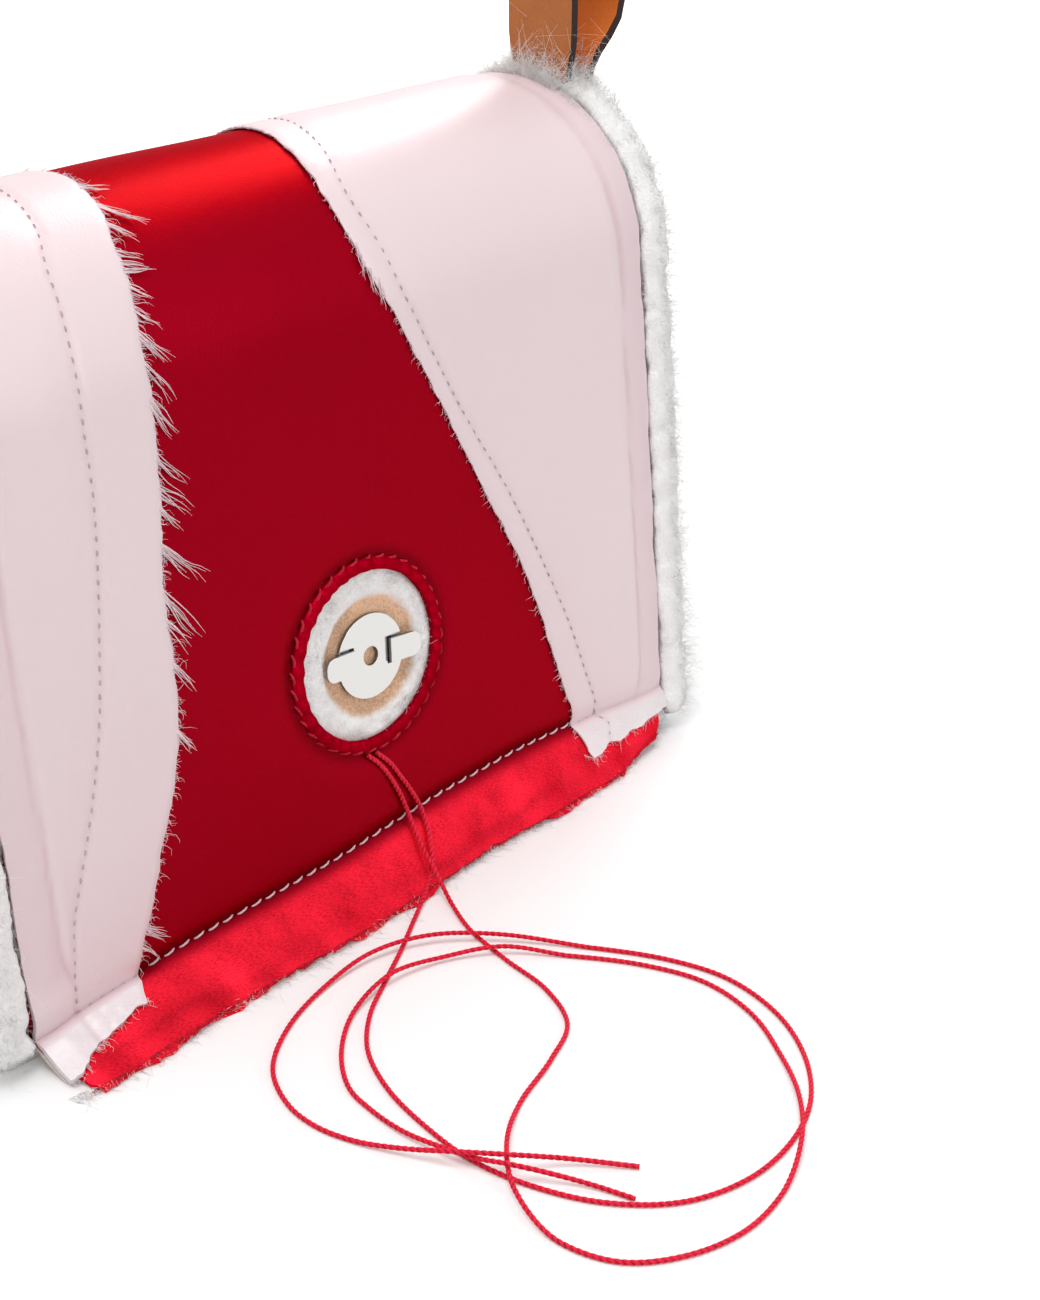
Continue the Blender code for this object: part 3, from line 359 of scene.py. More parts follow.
def make_mesh(name, points, groups):
    """Mesh from an array of points and arrays of faces, each array with one number of corners."""
    corners = np.concatenate([np.asarray(group).ravel() for group in groups])
    used, corners = np.unique(corners, return_inverse=True)
    counts = np.concatenate([np.full(len(group), np.asarray(group).shape[1]) for group in groups])
    starts = np.concatenate([[0], np.cumsum(counts)[:-1]])
    mesh = bpy.data.meshes.new(name)
    mesh.vertices.add(len(used))
    mesh.vertices.foreach_set("co", np.asarray(points)[used].astype(np.float32).ravel())
    mesh.loops.add(len(corners))
    mesh.loops.foreach_set("vertex_index", corners.astype(np.int32))
    mesh.polygons.add(len(counts))
    mesh.polygons.foreach_set("loop_start", starts.astype(np.int32))
    mesh.update(calc_edges=True)
    return mesh, used


def face_out(mesh):
    """Turns the faces of a closed shell outwards."""
    shell = bmesh.new()
    shell.from_mesh(mesh)
    bmesh.ops.recalc_face_normals(shell, faces=shell.faces)
    shell.to_mesh(mesh)
    shell.free()


def add_piece(name, mesh, finishes, body, nodes=(), smooth=True, sharp=None):
    """Shows a mesh as a piece that rides on a body and stands for the CAD nodes it replaces."""
    if smooth:
        mesh.shade_smooth()
        if sharp is not None:
            mesh.set_sharp_from_angle(angle=math.radians(sharp))
    for finish in finishes:
        mesh.materials.append(finish)
    piece = bpy.data.objects.new(name, mesh)
    bpy.context.scene.collection.objects.link(piece)
    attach(piece, body)
    if nodes:
        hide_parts(*nodes)
    return piece


def grid_faces(rows, columns, wrap=False):
    """Quads of a grid of points, row after row, joined round where wrap is set."""
    r = np.arange(rows - 1)[:, None]
    k = np.arange(columns if wrap else columns - 1)[None, :]
    after = (k + 1) % columns
    quads = [r * columns + k, r * columns + after, (r + 1) * columns + after, (r + 1) * columns + k]
    return np.stack(np.broadcast_arrays(*quads), -1).reshape(-1, 4)


def rim_loop(rows, columns):
    """Point numbers round the border of a grid, in order."""
    low = np.arange(columns)
    right = np.arange(1, rows) * columns + columns - 1
    top = (rows - 1) * columns + np.arange(columns - 2, -1, -1)
    left = np.arange(rows - 2, 0, -1) * columns
    return np.concatenate([low, right, top, left])


def wall_faces(loop, count):
    """Quads between a loop of the upper layer and the same loop of the lower, count points further on."""
    after = np.roll(loop, -1)
    return np.stack([loop, after, after + count, loop + count], -1)


def store_cloth_map(mesh, x, s, used):
    """UV map in metres: x across the cloth and s along it."""
    layer = mesh.uv_layers.new(name="cloth")
    corner = np.zeros(len(mesh.loops), np.int32)
    mesh.loops.foreach_get("vertex_index", corner)
    flat = np.stack([x, s], -1)[used][corner]
    layer.data.foreach_set("uv", flat.astype(np.float32).ravel())


def store_value(mesh, name, values):
    layer = mesh.attributes.new(name, "FLOAT", "POINT")
    layer.data.foreach_set("value", values.astype(np.float32))


def window_patch(x, s, rows, columns, centre_s, radius, half, rings, dish):
    """Swaps a square of the grid for rings that pass from the window's circle to the square's border.
    Each ring point slides along the line from the circle to its border point. A dish goes on to the middle.
    Returns the points' x and s, the faces, and the circle's loop."""
    column_x = x[rows // 2]
    row_s = s[:, columns // 2]
    c = np.where(np.abs(column_x) <= half + 1e-6)[0]
    r = np.where(np.abs(row_s - centre_s) <= half + 1e-6)[0]
    faces = grid_faces(rows, columns).reshape(rows - 1, columns - 1, 4)
    keep = np.ones((rows - 1, columns - 1), bool)
    keep[r[0]:r[-1], c[0]:c[-1]] = False
    local = rim_loop(len(r), len(c))
    border = (r[local // len(c)]) * columns + c[local % len(c)]
    edge = np.stack([x.ravel()[border], s.ravel()[border] - centre_s], -1)
    circle = edge / np.linalg.norm(edge, axis=1, keepdims=True) * radius
    share = np.linspace(0.0, 1.0, rings + 1)[:-1, None, None] ** 1.35
    ring = circle + share * (edge - circle)
    if dish:
        inner = np.linspace(1.0, 0.0, dish + 1)[1:-1][::-1, None, None] * circle
        ring = np.concatenate([inner, ring])
    base = rows * columns
    count = len(border)
    inside = base + grid_faces(len(ring), count, wrap=True)
    last = base + (len(ring) - 1) * count + np.arange(count)
    link = np.stack([last, np.roll(last, -1), np.roll(border, -1), border], -1)
    flat = ring.reshape(-1, 2)
    xs = np.concatenate([x.ravel(), flat[:, 0]])
    ss = np.concatenate([s.ravel(), flat[:, 1] + centre_s])
    groups = [faces[keep], inside, link]
    first = base + np.arange(count)
    if dish:
        xs = np.append(xs, 0.0)
        ss = np.append(ss, centre_s)
        pole = np.full(count, len(xs) - 1)
        groups.append(np.stack([first, np.roll(first, -1), pole], -1))
        first = None
    return xs, ss, groups, first


def shell_from(name, x, s, groups, loops, top, bottom):
    """Closed shell: the faces at the top heights, again at the bottom ones, and walls round the loops."""
    count = len(x)
    points = np.concatenate([place(x, s, top), place(x, s, bottom)])
    walls = [wall_faces(loop, count) for loop in loops]
    mesh, used = make_mesh(name, points, groups + [group[:, ::-1] + count for group in groups] + walls)
    store_cloth_map(mesh, np.tile(x, 2), np.tile(s, 2), used)
    face_out(mesh)
    return mesh, used


def tubes(centres, radii, sides, lead):
    """Closed tubes along many centre lines at once: rings of points round each station, and a cap at each
    end. centres is tubes by stations by 3, radii tubes by stations, and lead a way that no tube runs in."""
    many, stations = radii.shape
    run = np.gradient(centres, axis=1)
    run /= np.linalg.norm(run, axis=2, keepdims=True) + 1e-12
    lead = np.broadcast_to(lead, centres.shape)
    first = lead - (lead * run).sum(-1, keepdims=True) * run
    first /= np.linalg.norm(first, axis=2, keepdims=True) + 1e-12
    second = np.cross(run, first)
    angle = 2.0 * np.pi * np.arange(sides) / sides
    ring = first[:, :, None] * np.cos(angle)[:, None] + second[:, :, None] * np.sin(angle)[:, None]
    points = centres[:, :, None] + ring * radii[:, :, None, None]
    each = stations * sides
    offset = (np.arange(many) * each)[:, None, None]
    quads = (grid_faces(stations, sides, wrap=True)[None] + offset).reshape(-1, 4)
    cap = np.arange(sides)[None, :]
    start = (cap[:, ::-1] + offset[:, :, 0])
    end = (cap + (stations - 1) * sides + offset[:, :, 0])
    return points.reshape(-1, 3), [quads, start, end]


def joined(parts):
    """One set of points and face groups from several."""
    points = np.concatenate([part[0] for part in parts])
    groups = []
    base = 0
    for part, faces in parts:
        groups += [group + base for group in faces]
        base += len(part)
    return points, groups


def along(line, pitch):
    """Even places on a line of points, a pitch apart, with the line's direction there."""
    steps = np.linalg.norm(np.diff(line, axis=0), axis=1)
    reach = np.concatenate([[0.0], np.cumsum(steps)])
    at = np.arange(pitch / 2.0, reach[-1], pitch)
    spots = np.stack([np.interp(at, reach, line[:, k]) for k in range(line.shape[1])], -1)
    ahead = np.stack([np.interp(at + pitch / 4.0, reach, line[:, k]) for k in range(line.shape[1])], -1)
    run = ahead - spots
    return spots, run / (np.linalg.norm(run, axis=1, keepdims=True) + 1e-12)


def stitches(line, pitch, share, radius, height, sink, skew=0.0):
    """Tubes for a row of stitches along an (x, s) line: each one arches from sink up to height and back."""
    spots, run = along(line, pitch)
    across = np.stack([-run[:, 1], run[:, 0]], -1)
    t = np.array([-1.0, -0.82, -0.4, 0.4, 0.82, 1.0])
    half = pitch * share / 2.0
    at = spots[:, None] + half * t[None, :, None] * (run + skew * across)[:, None]
    rise = sink + (height - sink) * (1.0 - np.abs(t) ** 3)
    n = rise[None] + relief(at[..., 0], at[..., 1])
    centres = place(at[..., 0], at[..., 1], n)
    radii = radius * np.array([0.45, 0.85, 1.0, 1.0, 0.85, 0.45])[None] * np.ones((len(spots), 1))
    lead = place(at[..., 0], at[..., 1], n + 0.01) - centres
    return tubes(centres, radii, 6, lead)


def group_tree(name, inputs, outputs):
    """New shader node group with its sockets; returns the tree, its input node and its output node."""
    tree = bpy.data.node_groups.new(name, "ShaderNodeTree")
    for label, kind, value in inputs:
        socket = tree.interface.new_socket(label, in_out="INPUT", socket_type=kind)
        if value is not None:
            socket.default_value = value
    for label, kind in outputs:
        tree.interface.new_socket(label, in_out="OUTPUT", socket_type=kind)
    return tree, tree.nodes.new("NodeGroupInput"), tree.nodes.new("NodeGroupOutput")


def node(tree, kind, links=(), **values):
    """Adds a node, sets its properties and its sockets by name, and links (socket, source) pairs to it."""
    made = tree.nodes.new(kind)
    for key, value in values.items():
        if hasattr(made, key):
            setattr(made, key, value)
        else:
            made.inputs[key.replace("_", " ").title()].default_value = value
    for socket, source in links:
        tree.links.new(source, made.inputs[socket])
    return made


def mix_colours(tree, share, first, second):
    """Mix of two colours; each is a socket or a plain colour."""
    made = tree.nodes.new("ShaderNodeMix")
    made.data_type = "RGBA"
    for label, value in (("Factor", share), ("A", first), ("B", second)):
        socket = next(s for s in made.inputs if s.name == label and s.enabled)
        if isinstance(value, bpy.types.NodeSocket):
            tree.links.new(value, socket)
        else:
            socket.default_value = value
    return next(s for s in made.outputs if s.enabled)


def satin_group():
    """Satin: long fine floats across the cloth, slow colour drift, the hem colour where the fold value is high, a
    painted shade colour where the crease value is high, and a height for their relief.
    """
    tree, given, result = group_tree(
        "satin_floats",
        [("Colour", "NodeSocketColor", None), ("Deep", "NodeSocketColor", None),
         ("Hem", "NodeSocketColor", None), ("Crease Shade", "NodeSocketColor", None),
         ("Slub", "NodeSocketFloat", 0.5)],
        [("Colour", "NodeSocketColor"), ("Height", "NodeSocketFloat"), ("Roughness", "NodeSocketFloat")])
    uv = node(tree, "ShaderNodeUVMap", uv_map="cloth")
    fold = node(tree, "ShaderNodeAttribute", attribute_name="fold")
    crease_shade = node(tree, "ShaderNodeAttribute", attribute_name="crease_shade")
    floats = node(tree, "ShaderNodeMapping", [("Vector", uv.outputs["UV"])], Scale=(700.0, 5200.0, 1.0))
    weave = node(tree, "ShaderNodeTexNoise", [("Vector", floats.outputs["Vector"])], Scale=1.0, Detail=2.0)
    twill = node(tree, "ShaderNodeMapping", [("Vector", uv.outputs["UV"])],
                 Scale=(2600.0, 700.0, 1.0), Rotation=(0.0, 0.0, 0.6))
    cross = node(tree, "ShaderNodeTexNoise", [("Vector", twill.outputs["Vector"])], Scale=1.0, Detail=1.0)
    drift = node(tree, "ShaderNodeTexNoise", [("Vector", uv.outputs["UV"])], Scale=38.0, Detail=3.0)
    both = node(tree, "ShaderNodeMath", [(0, weave.outputs["Fac"]), (1, cross.outputs["Fac"])], operation="ADD")
    slub = node(tree, "ShaderNodeMath", [(0, both.outputs[0]), (1, given.outputs["Slub"])],
                operation="MULTIPLY")
    slow = node(tree, "ShaderNodeMath", [(0, drift.outputs["Fac"]), (1, slub.outputs[0])], operation="MULTIPLY")
    face = mix_colours(tree, slow.outputs[0], given.outputs["Colour"], given.outputs["Deep"])
    slant = node(tree, "ShaderNodeMapping", [("Vector", uv.outputs["UV"])],
                 Scale=(1100.0, 4800.0, 1.0), Rotation=(0.0, 0.0, 0.75))
    grain = node(tree, "ShaderNodeTexNoise", [("Vector", slant.outputs["Vector"])], Scale=1.0, Detail=3.0)
    patches = node(tree, "ShaderNodeTexNoise", [("Vector", uv.outputs["UV"])], Scale=160.0, Detail=5.0)
    faint = node(tree, "ShaderNodeMath", [(0, patches.outputs["Fac"])], operation="MULTIPLY")
    faint.inputs[1].default_value = 0.55
    mottled = node(tree, "ShaderNodeMath", [(0, grain.outputs["Fac"]), (1, faint.outputs[0])],
                   operation="ADD")
    contrast = node(tree, "ShaderNodeMapRange", [("Value", mottled.outputs[0])])
    contrast.inputs["From Min"].default_value = 0.36
    contrast.inputs["From Max"].default_value = 0.86
    hem_face = mix_colours(tree, contrast.outputs["Result"], given.outputs["Deep"], given.outputs["Hem"])
    flat = mix_colours(tree, fold.outputs["Fac"], face, hem_face)
    # Painted shade: the crease colour goes in where the piece's crease value is high, darkening creases, grooves and
    # seams.
    tinted = mix_colours(tree, crease_shade.outputs["Fac"], flat, given.outputs["Crease Shade"])
    folded = node(tree, "ShaderNodeMath", [(0, grain.outputs["Fac"]), (1, fold.outputs["Fac"])],
                  operation="MULTIPLY")
    doubled = node(tree, "ShaderNodeMath", [(0, folded.outputs[0])], operation="MULTIPLY")
    doubled.inputs[1].default_value = 0.45
    height = node(tree, "ShaderNodeMath", [(0, both.outputs[0]), (1, doubled.outputs[0])], operation="ADD")
    rough = node(tree, "ShaderNodeMapRange", [("Value", weave.outputs["Fac"])])
    rough.inputs["To Min"].default_value = 0.25
    rough.inputs["To Max"].default_value = 0.42
    tree.links.new(tinted, result.inputs["Colour"])
    tree.links.new(height.outputs[0], result.inputs["Height"])
    tree.links.new(rough.outputs["Result"], result.inputs["Roughness"])
    return tree


def wool_group():
    """Wool: clumps of fine fibres, lighter and darker by noise between the Light and Shade colours, and a height for
    the fibres.
    """
    tree, given, result = group_tree(
        "wool_fibres",
        [("Light", "NodeSocketColor", None), ("Shade", "NodeSocketColor", None),
         ("Size", "NodeSocketFloat", 900.0)],
        [("Colour", "NodeSocketColor"), ("Height", "NodeSocketFloat")])
    place_in = node(tree, "ShaderNodeTexCoord")
    clumps = node(tree, "ShaderNodeTexNoise", [("Vector", place_in.outputs["Object"])], Scale=260.0, Detail=4.0,
                  Distortion=1.6)
    fibres = node(tree, "ShaderNodeTexNoise",
                  [("Vector", place_in.outputs["Object"]), ("Scale", given.outputs["Size"])],
                  Detail=5.0, Distortion=2.2)
    both = node(tree, "ShaderNodeMath", [(0, clumps.outputs["Fac"]), (1, fibres.outputs["Fac"])],
                operation="ADD")
    shade = node(tree, "ShaderNodeMapRange", [("Value", both.outputs[0])])
    shade.inputs["From Min"].default_value = 0.75
    shade.inputs["From Max"].default_value = 1.25
    tinted = mix_colours(tree, shade.outputs["Result"], given.outputs["Shade"], given.outputs["Light"])
    tree.links.new(tinted, result.inputs["Colour"])
    tree.links.new(both.outputs[0], result.inputs["Height"])
    return tree


def grain_group():
    """Leather or suede grain: small rounded cells under soft mottling."""
    tree, given, result = group_tree(
        "skin_grain",
        [("Colour", "NodeSocketColor", None), ("Deep", "NodeSocketColor", None),
         ("Size", "NodeSocketFloat", 1400.0), ("Depth", "NodeSocketFloat", 0.6)],
        [("Colour", "NodeSocketColor"), ("Height", "NodeSocketFloat"), ("Roughness", "NodeSocketFloat")])
    place_in = node(tree, "ShaderNodeTexCoord")
    cells = node(tree, "ShaderNodeTexVoronoi",
                 [("Vector", place_in.outputs["Object"]), ("Scale", given.outputs["Size"])],
                 feature="SMOOTH_F1")
    mottle = node(tree, "ShaderNodeTexNoise", [("Vector", place_in.outputs["Object"])], Scale=120.0, Detail=5.0)
    nap = node(tree, "ShaderNodeTexNoise", [("Vector", place_in.outputs["Object"])], Scale=2200.0, Detail=2.0)
    mixed = node(tree, "ShaderNodeMath", [(0, mottle.outputs["Fac"]), (1, nap.outputs["Fac"])],
                 operation="ADD")
    speckle = node(tree, "ShaderNodeMapRange", [("Value", mixed.outputs[0])])
    speckle.inputs["From Min"].default_value = 0.80
    speckle.inputs["From Max"].default_value = 1.20
    strong = node(tree, "ShaderNodeMath", [(0, speckle.outputs["Result"]), (1, given.outputs["Depth"])],
                  operation="MULTIPLY")
    tinted = mix_colours(tree, strong.outputs[0], given.outputs["Colour"], given.outputs["Deep"])
    rough = node(tree, "ShaderNodeMapRange", [("Value", mottle.outputs["Fac"])])
    rough.inputs["To Min"].default_value = 0.36
    rough.inputs["To Max"].default_value = 0.58
    height = node(tree, "ShaderNodeMath", [(0, cells.outputs["Distance"]), (1, nap.outputs["Fac"])],
                  operation="ADD")
    tree.links.new(tinted, result.inputs["Colour"])
    tree.links.new(height.outputs[0], result.inputs["Height"])
    tree.links.new(rough.outputs["Result"], result.inputs["Roughness"])
    return tree


def shader_of(material):
    return material.node_tree.nodes["Principled BSDF"]


def principled(name, **sockets):
    """New material whose plain values sit on the shader's own sockets."""
    material = bpy.data.materials.new(name)
    material.use_nodes = True
    for key, value in sockets.items():
        shader_of(material).inputs[key.replace("_", " ").title().replace("Ior", "IOR")].default_value = value
    return material


def four(rgb, scale=1.0):
    return (*[min(channel * scale, 1.0) for channel in rgb], 1.0)


def add_bump(material, height, strength, distance):
    tree = material.node_tree
    bump = node(tree, "ShaderNodeBump", [("Height", height)], Strength=strength, Distance=distance)
    tree.links.new(bump.outputs["Normal"], shader_of(material).inputs["Normal"])


def satin_material(name, rgb, deep, hem, crease_shade, slub, metallic, specular, coat, bump, tint):
    """Satin with its weave group: a tinted metallic share gives the coloured gloss of the floats."""
    material = principled(name, metallic=metallic, specular_ior_level=specular, coat_weight=coat,
                          coat_roughness=0.30)
    shader_of(material).inputs["Specular Tint"].default_value = four(tint)
    tree = material.node_tree
    weave = tree.nodes.new("ShaderNodeGroup")
    weave.node_tree = bpy.data.node_groups["satin_floats"]
    weave.inputs["Colour"].default_value = four(rgb)
    weave.inputs["Deep"].default_value = four(deep)
    weave.inputs["Hem"].default_value = four(hem)
    # The crease colour is the painted shade that goes into creases, grooves and seams.
    weave.inputs["Crease Shade"].default_value = four(crease_shade)
    weave.inputs["Slub"].default_value = slub
    tree.links.new(weave.outputs["Colour"], shader_of(material).inputs["Base Color"])
    tree.links.new(weave.outputs["Roughness"], shader_of(material).inputs["Roughness"])
    add_bump(material, weave.outputs["Height"], bump, 0.00010)
    return material


def wool_material(name, light, shade, size):
    material = principled(name, roughness=0.95, specular_ior_level=0.08, sheen_weight=0.25)
    tree = material.node_tree
    wool = tree.nodes.new("ShaderNodeGroup")
    wool.node_tree = bpy.data.node_groups["wool_fibres"]
    wool.inputs["Light"].default_value = four(light)
    wool.inputs["Shade"].default_value = four(shade)
    wool.inputs["Size"].default_value = size
    tree.links.new(wool.outputs["Colour"], shader_of(material).inputs["Base Color"])
    add_bump(material, wool.outputs["Height"], 0.75, 0.0006)
    return material


def grain_material(name, rgb, deep, size, depth, bump, specular, rough=None):
    material = principled(name, specular_ior_level=specular)
    tree = material.node_tree
    grain = tree.nodes.new("ShaderNodeGroup")
    grain.node_tree = bpy.data.node_groups["skin_grain"]
    grain.inputs["Colour"].default_value = four(rgb)
    grain.inputs["Deep"].default_value = four(deep)
    grain.inputs["Size"].default_value = size
    grain.inputs["Depth"].default_value = depth
    tree.links.new(grain.outputs["Colour"], shader_of(material).inputs["Base Color"])
    if rough is None:
        tree.links.new(grain.outputs["Roughness"], shader_of(material).inputs["Roughness"])
    else:
        shader_of(material).inputs["Roughness"].default_value = rough
    add_bump(material, grain.outputs["Height"], bump, 0.00012)
    return material


def wool_over_skin(name):
    """Suede that turns into wool where the piece's pile value is one."""
    c = colours()
    # The wool here is pure white, lighter than the other wool: painted light for the sunk window round the snap, which
    # gets less light.
    material = wool_material(name, (1.0, 1.0, 0.99), [v * 0.92 for v in c.wool], 900.0)
    tree = material.node_tree
    shader = shader_of(material)
    wool = shader.inputs["Base Color"].links[0].from_socket
    grain = tree.nodes.new("ShaderNodeGroup")
    grain.node_tree = bpy.data.node_groups["skin_grain"]
    grain.inputs["Colour"].default_value = four(c.suede)
    grain.inputs["Deep"].default_value = four([v * 0.50 for v in c.suede])
    grain.inputs["Size"].default_value = 2600.0
    grain.inputs["Depth"].default_value = 0.8
    pile = node(tree, "ShaderNodeAttribute", attribute_name="pile")
    mixed = mix_colours(tree, pile.outputs["Fac"], grain.outputs["Colour"], wool)
    tree.links.new(mixed, shader.inputs["Base Color"])
    return material


def fibre_material(name, light, dark, twist):
    """Thread or yarn: fine fuzz, and darker where the piece's stored ply value is low, a painted shade in the grooves
    between twisted plies.
    """
    material = principled(name, roughness=0.62, specular_ior_level=0.12, sheen_weight=0.06)
    tree = material.node_tree
    place_in = node(tree, "ShaderNodeTexCoord")
    fuzz = node(tree, "ShaderNodeTexNoise", [("Vector", place_in.outputs["Object"])], Scale=twist, Detail=4.0)
    ply_shade = node(tree, "ShaderNodeAttribute", attribute_name="ply_shade")
    share = node(tree, "ShaderNodeMath", [(0, fuzz.outputs["Fac"]), (1, ply_shade.outputs["Fac"])], operation="ADD")
    tinted = mix_colours(tree, share.outputs[0], four(dark), four(light))
    tree.links.new(tinted, shader_of(material).inputs["Base Color"])
    add_bump(material, fuzz.outputs["Fac"], 0.5, 0.0001)
    return material


def metal_material(name, rgb, rough_low, rough_high, metallic=1.0):
    """Plated metal with fine rub marks."""
    material = principled(name, metallic=metallic)
    shader_of(material).inputs["Base Color"].default_value = four(rgb)
    tree = material.node_tree
    place_in = node(tree, "ShaderNodeTexCoord")
    stretch = node(tree, "ShaderNodeMapping", [("Vector", place_in.outputs["Object"])],
                   Scale=(900.0, 900.0, 5200.0), Rotation=(0.4, 0.2, 0.9))
    marks = node(tree, "ShaderNodeTexNoise", [("Vector", stretch.outputs["Vector"])], Scale=1.0, Detail=3.0)
    rough = node(tree, "ShaderNodeMapRange", [("Value", marks.outputs["Fac"])])
    rough.inputs["To Min"].default_value = rough_low
    rough.inputs["To Max"].default_value = rough_high
    tree.links.new(rough.outputs["Result"], shader_of(material).inputs["Roughness"])
    add_bump(material, marks.outputs["Fac"], 0.05, 0.00003)
    return material


def finish(name):
    return bpy.data.materials[name]


def centripetal(points, steps):
    """Centripetal curve through points: three rounds of blending between neighbours, in even steps."""
    route = np.array(points, float)
    route = np.concatenate([[2.0 * route[0] - route[1]], route, [2.0 * route[-1] - route[-2]]])
    knots = np.concatenate([[0.0], np.cumsum(np.sqrt(np.linalg.norm(np.diff(route, axis=0), axis=1)))])
    p = np.stack([route[k:len(route) - 3 + k] for k in range(4)], 0)[:, :, None]
    t = np.stack([knots[k:len(knots) - 3 + k] for k in range(4)], 0)[:, :, None, None]
    u = t[1] + (t[2] - t[1]) * np.linspace(0.0, 1.0, steps, endpoint=False)[None, :, None]
    a = [p[k] + (p[k + 1] - p[k]) * (u - t[k]) / (t[k + 1] - t[k]) for k in range(3)]
    b = [a[k] + (a[k + 1] - a[k]) * (u - t[k]) / (t[k + 2] - t[k]) for k in range(2)]
    line = b[0] + (b[1] - b[0]) * (u - t[1]) / (t[2] - t[1])
    return np.concatenate([line.reshape(-1, 3), route[-2:-1]])


def even(line, count):
    steps = np.linalg.norm(np.diff(line, axis=0), axis=1)
    reach = np.concatenate([[0.0], np.cumsum(steps)])
    at = np.linspace(0.0, reach[-1], count)
    return np.stack([np.interp(at, reach, line[:, k]) for k in range(3)], -1), reach[-1]


def twisted_thread(name, route, seed):
    """Thread: a two lobed section carried along the route and turned once per twist, on even stations."""
    form = sizes()
    radius = form.thread / 2.0
    floor = radius + form.gap / 6.0
    fine = centripetal(route, 24)
    fine[:, 2] = np.maximum(fine[:, 2], floor)
    line, reach = even(fine, 1300)
    run = np.gradient(line, axis=0)
    run /= np.linalg.norm(run, axis=1, keepdims=True)
    up = np.array([0.0, 0.0, 1.0]) + 0.3 * run[:, [1, 0, 2]] * np.array([1.0, -1.0, 0.0])
    first = up - (up * run).sum(1, keepdims=True) * run
    first /= np.linalg.norm(first, axis=1, keepdims=True)
    second = np.cross(run, first)
    sides = 8
    angle = 2.0 * np.pi * np.arange(sides)[None, :] / sides
    turn = 2.0 * np.pi * np.linspace(0.0, reach, len(line))[:, None] / form.twist
    lobes = np.abs(np.cos(angle - turn))
    fuzz = 1.0 + 0.04 * np.sin(np.arange(len(line)) * 1.7 + seed)[:, None]
    size = radius * (0.66 + 0.42 * lobes) * fuzz
    size = np.minimum(size, radius)
    ring = first[:, None] * np.cos(angle)[..., None] + second[:, None] * np.sin(angle)[..., None]
    points = line[:, None] + ring * size[..., None]
    count = len(line) * sides
    caps = [np.arange(sides)[None, ::-1], (count - sides + np.arange(sides))[None]]
    mesh, used = make_mesh(name, points.reshape(-1, 3), [grid_faces(len(line), sides, wrap=True)] + caps)
    # Painted shade: the stored value is low in the grooves between the two plies, where the thread's colour goes dark.
    store_value(mesh, "ply_shade", 1.3 * (lobes.ravel()[used] - 0.42))
    piece = add_piece(f"{name}_twisted", mesh, [finish("red_thread")], "flap", [name])
    return piece


class BAG_OT_materials(bpy.types.Operator):
    """Makes the shared weave, wool and grain groups and the bag's materials"""

    bl_idname = "bag.materials"
    bl_label = "Materials"

    def execute(self, context):
        c = colours()
        satin_group()
        wool_group()
        grain_group()
        # The fourth colour of each satin is its painted crease shade. The red satin's hem colour is painted lighter
        # for the light that falls on the upturned hem.
        satin_material("red_satin_face", c.red, [v * 0.75 for v in c.red], c.hem, [v * 0.25 for v in c.red],
                       0.5, 0.60, 0.0, 0.035, 0.5, (1.0, 0.04, 0.08))
        satin_material("pink_satin_face", c.pink, [v * 0.93 for v in c.pink], (0.82, 0.76, 0.775),
                       (0.60, 0.38, 0.43), 0.35, 0.06, 0.16, 0.0, 0.30, (1.0, 1.0, 1.0))
        wool_material("white_wool", c.wool, [v * 0.94 for v in c.wool], 900.0)
        wool_material("wool_hairs", [min(v * 1.03, 1.0) for v in c.wool], [v * 0.96 for v in c.wool], 500.0)
        grain_material("tan_suede_skin", c.suede, [v * 0.50 for v in c.suede], 2600.0, 0.8, 0.5, 0.1, 0.92)
        grain_material("strap_leather", c.leather, [v * 0.72 for v in c.leather], 1500.0, 0.5, 0.35, 0.35)
        # The outer layer's colour is partly painted light, lifting the shade cast by the inner layer.
        grain_material("outer_leather", c.outer_leather, [v * 0.72 for v in c.outer_leather], 1500.0, 0.5, 0.35,
                       0.15)
        grain_material("strap_edge_paint", c.edge_paint, [v * 0.6 for v in c.edge_paint], 900.0, 0.6, 0.2, 0.2)
        # The red thread's dark colour is its painted shade between the plies.
        fibre_material("red_thread", c.thread, [v * 0.30 for v in c.thread], 1500.0)
        fibre_material("pink_yarn", (0.84, 0.64, 0.66), (0.66, 0.42, 0.46), 1200.0)
        fibre_material("mauve_yarn", (0.62, 0.52, 0.56), (0.42, 0.33, 0.37), 1200.0)
        fibre_material("fringe_yarn", (0.93, 0.80, 0.82), (0.80, 0.60, 0.64), 900.0)
        fibre_material("red_frays", (0.62, 0.02, 0.04), (0.36, 0.004, 0.015), 900.0)
        fibre_material("rim_yarn", (0.80, 0.020, 0.050), (0.16, 0.001, 0.010), 900.0)
        satin_material("rim_satin", [v * 1.75 for v in c.red], [v * 0.3 for v in c.red], c.red, c.red, 1.1, 0.35, 0.0,
                       0.0, 1.0, (1.0, 0.04, 0.08))
        wool_over_skin("wool_over_skin")
        metal_material("plated_nickel", c.nickel, 0.10, 0.24)
        # Painted shade: dark nickel for the sides of the washer and prongs, standing for the shade and dark reflection
        # there.
        metal_material("side_shade_nickel", [v * 0.30 for v in c.nickel], 0.30, 0.50)
        metal_material("magnet_face", (0.12, 0.12, 0.125), 0.40, 0.60, 0.6)
        grain_material("grey_board_face", c.board, [v * 0.8 for v in c.board], 700.0, 0.6, 0.3, 0.2, 0.85)
        return {"FINISHED"}


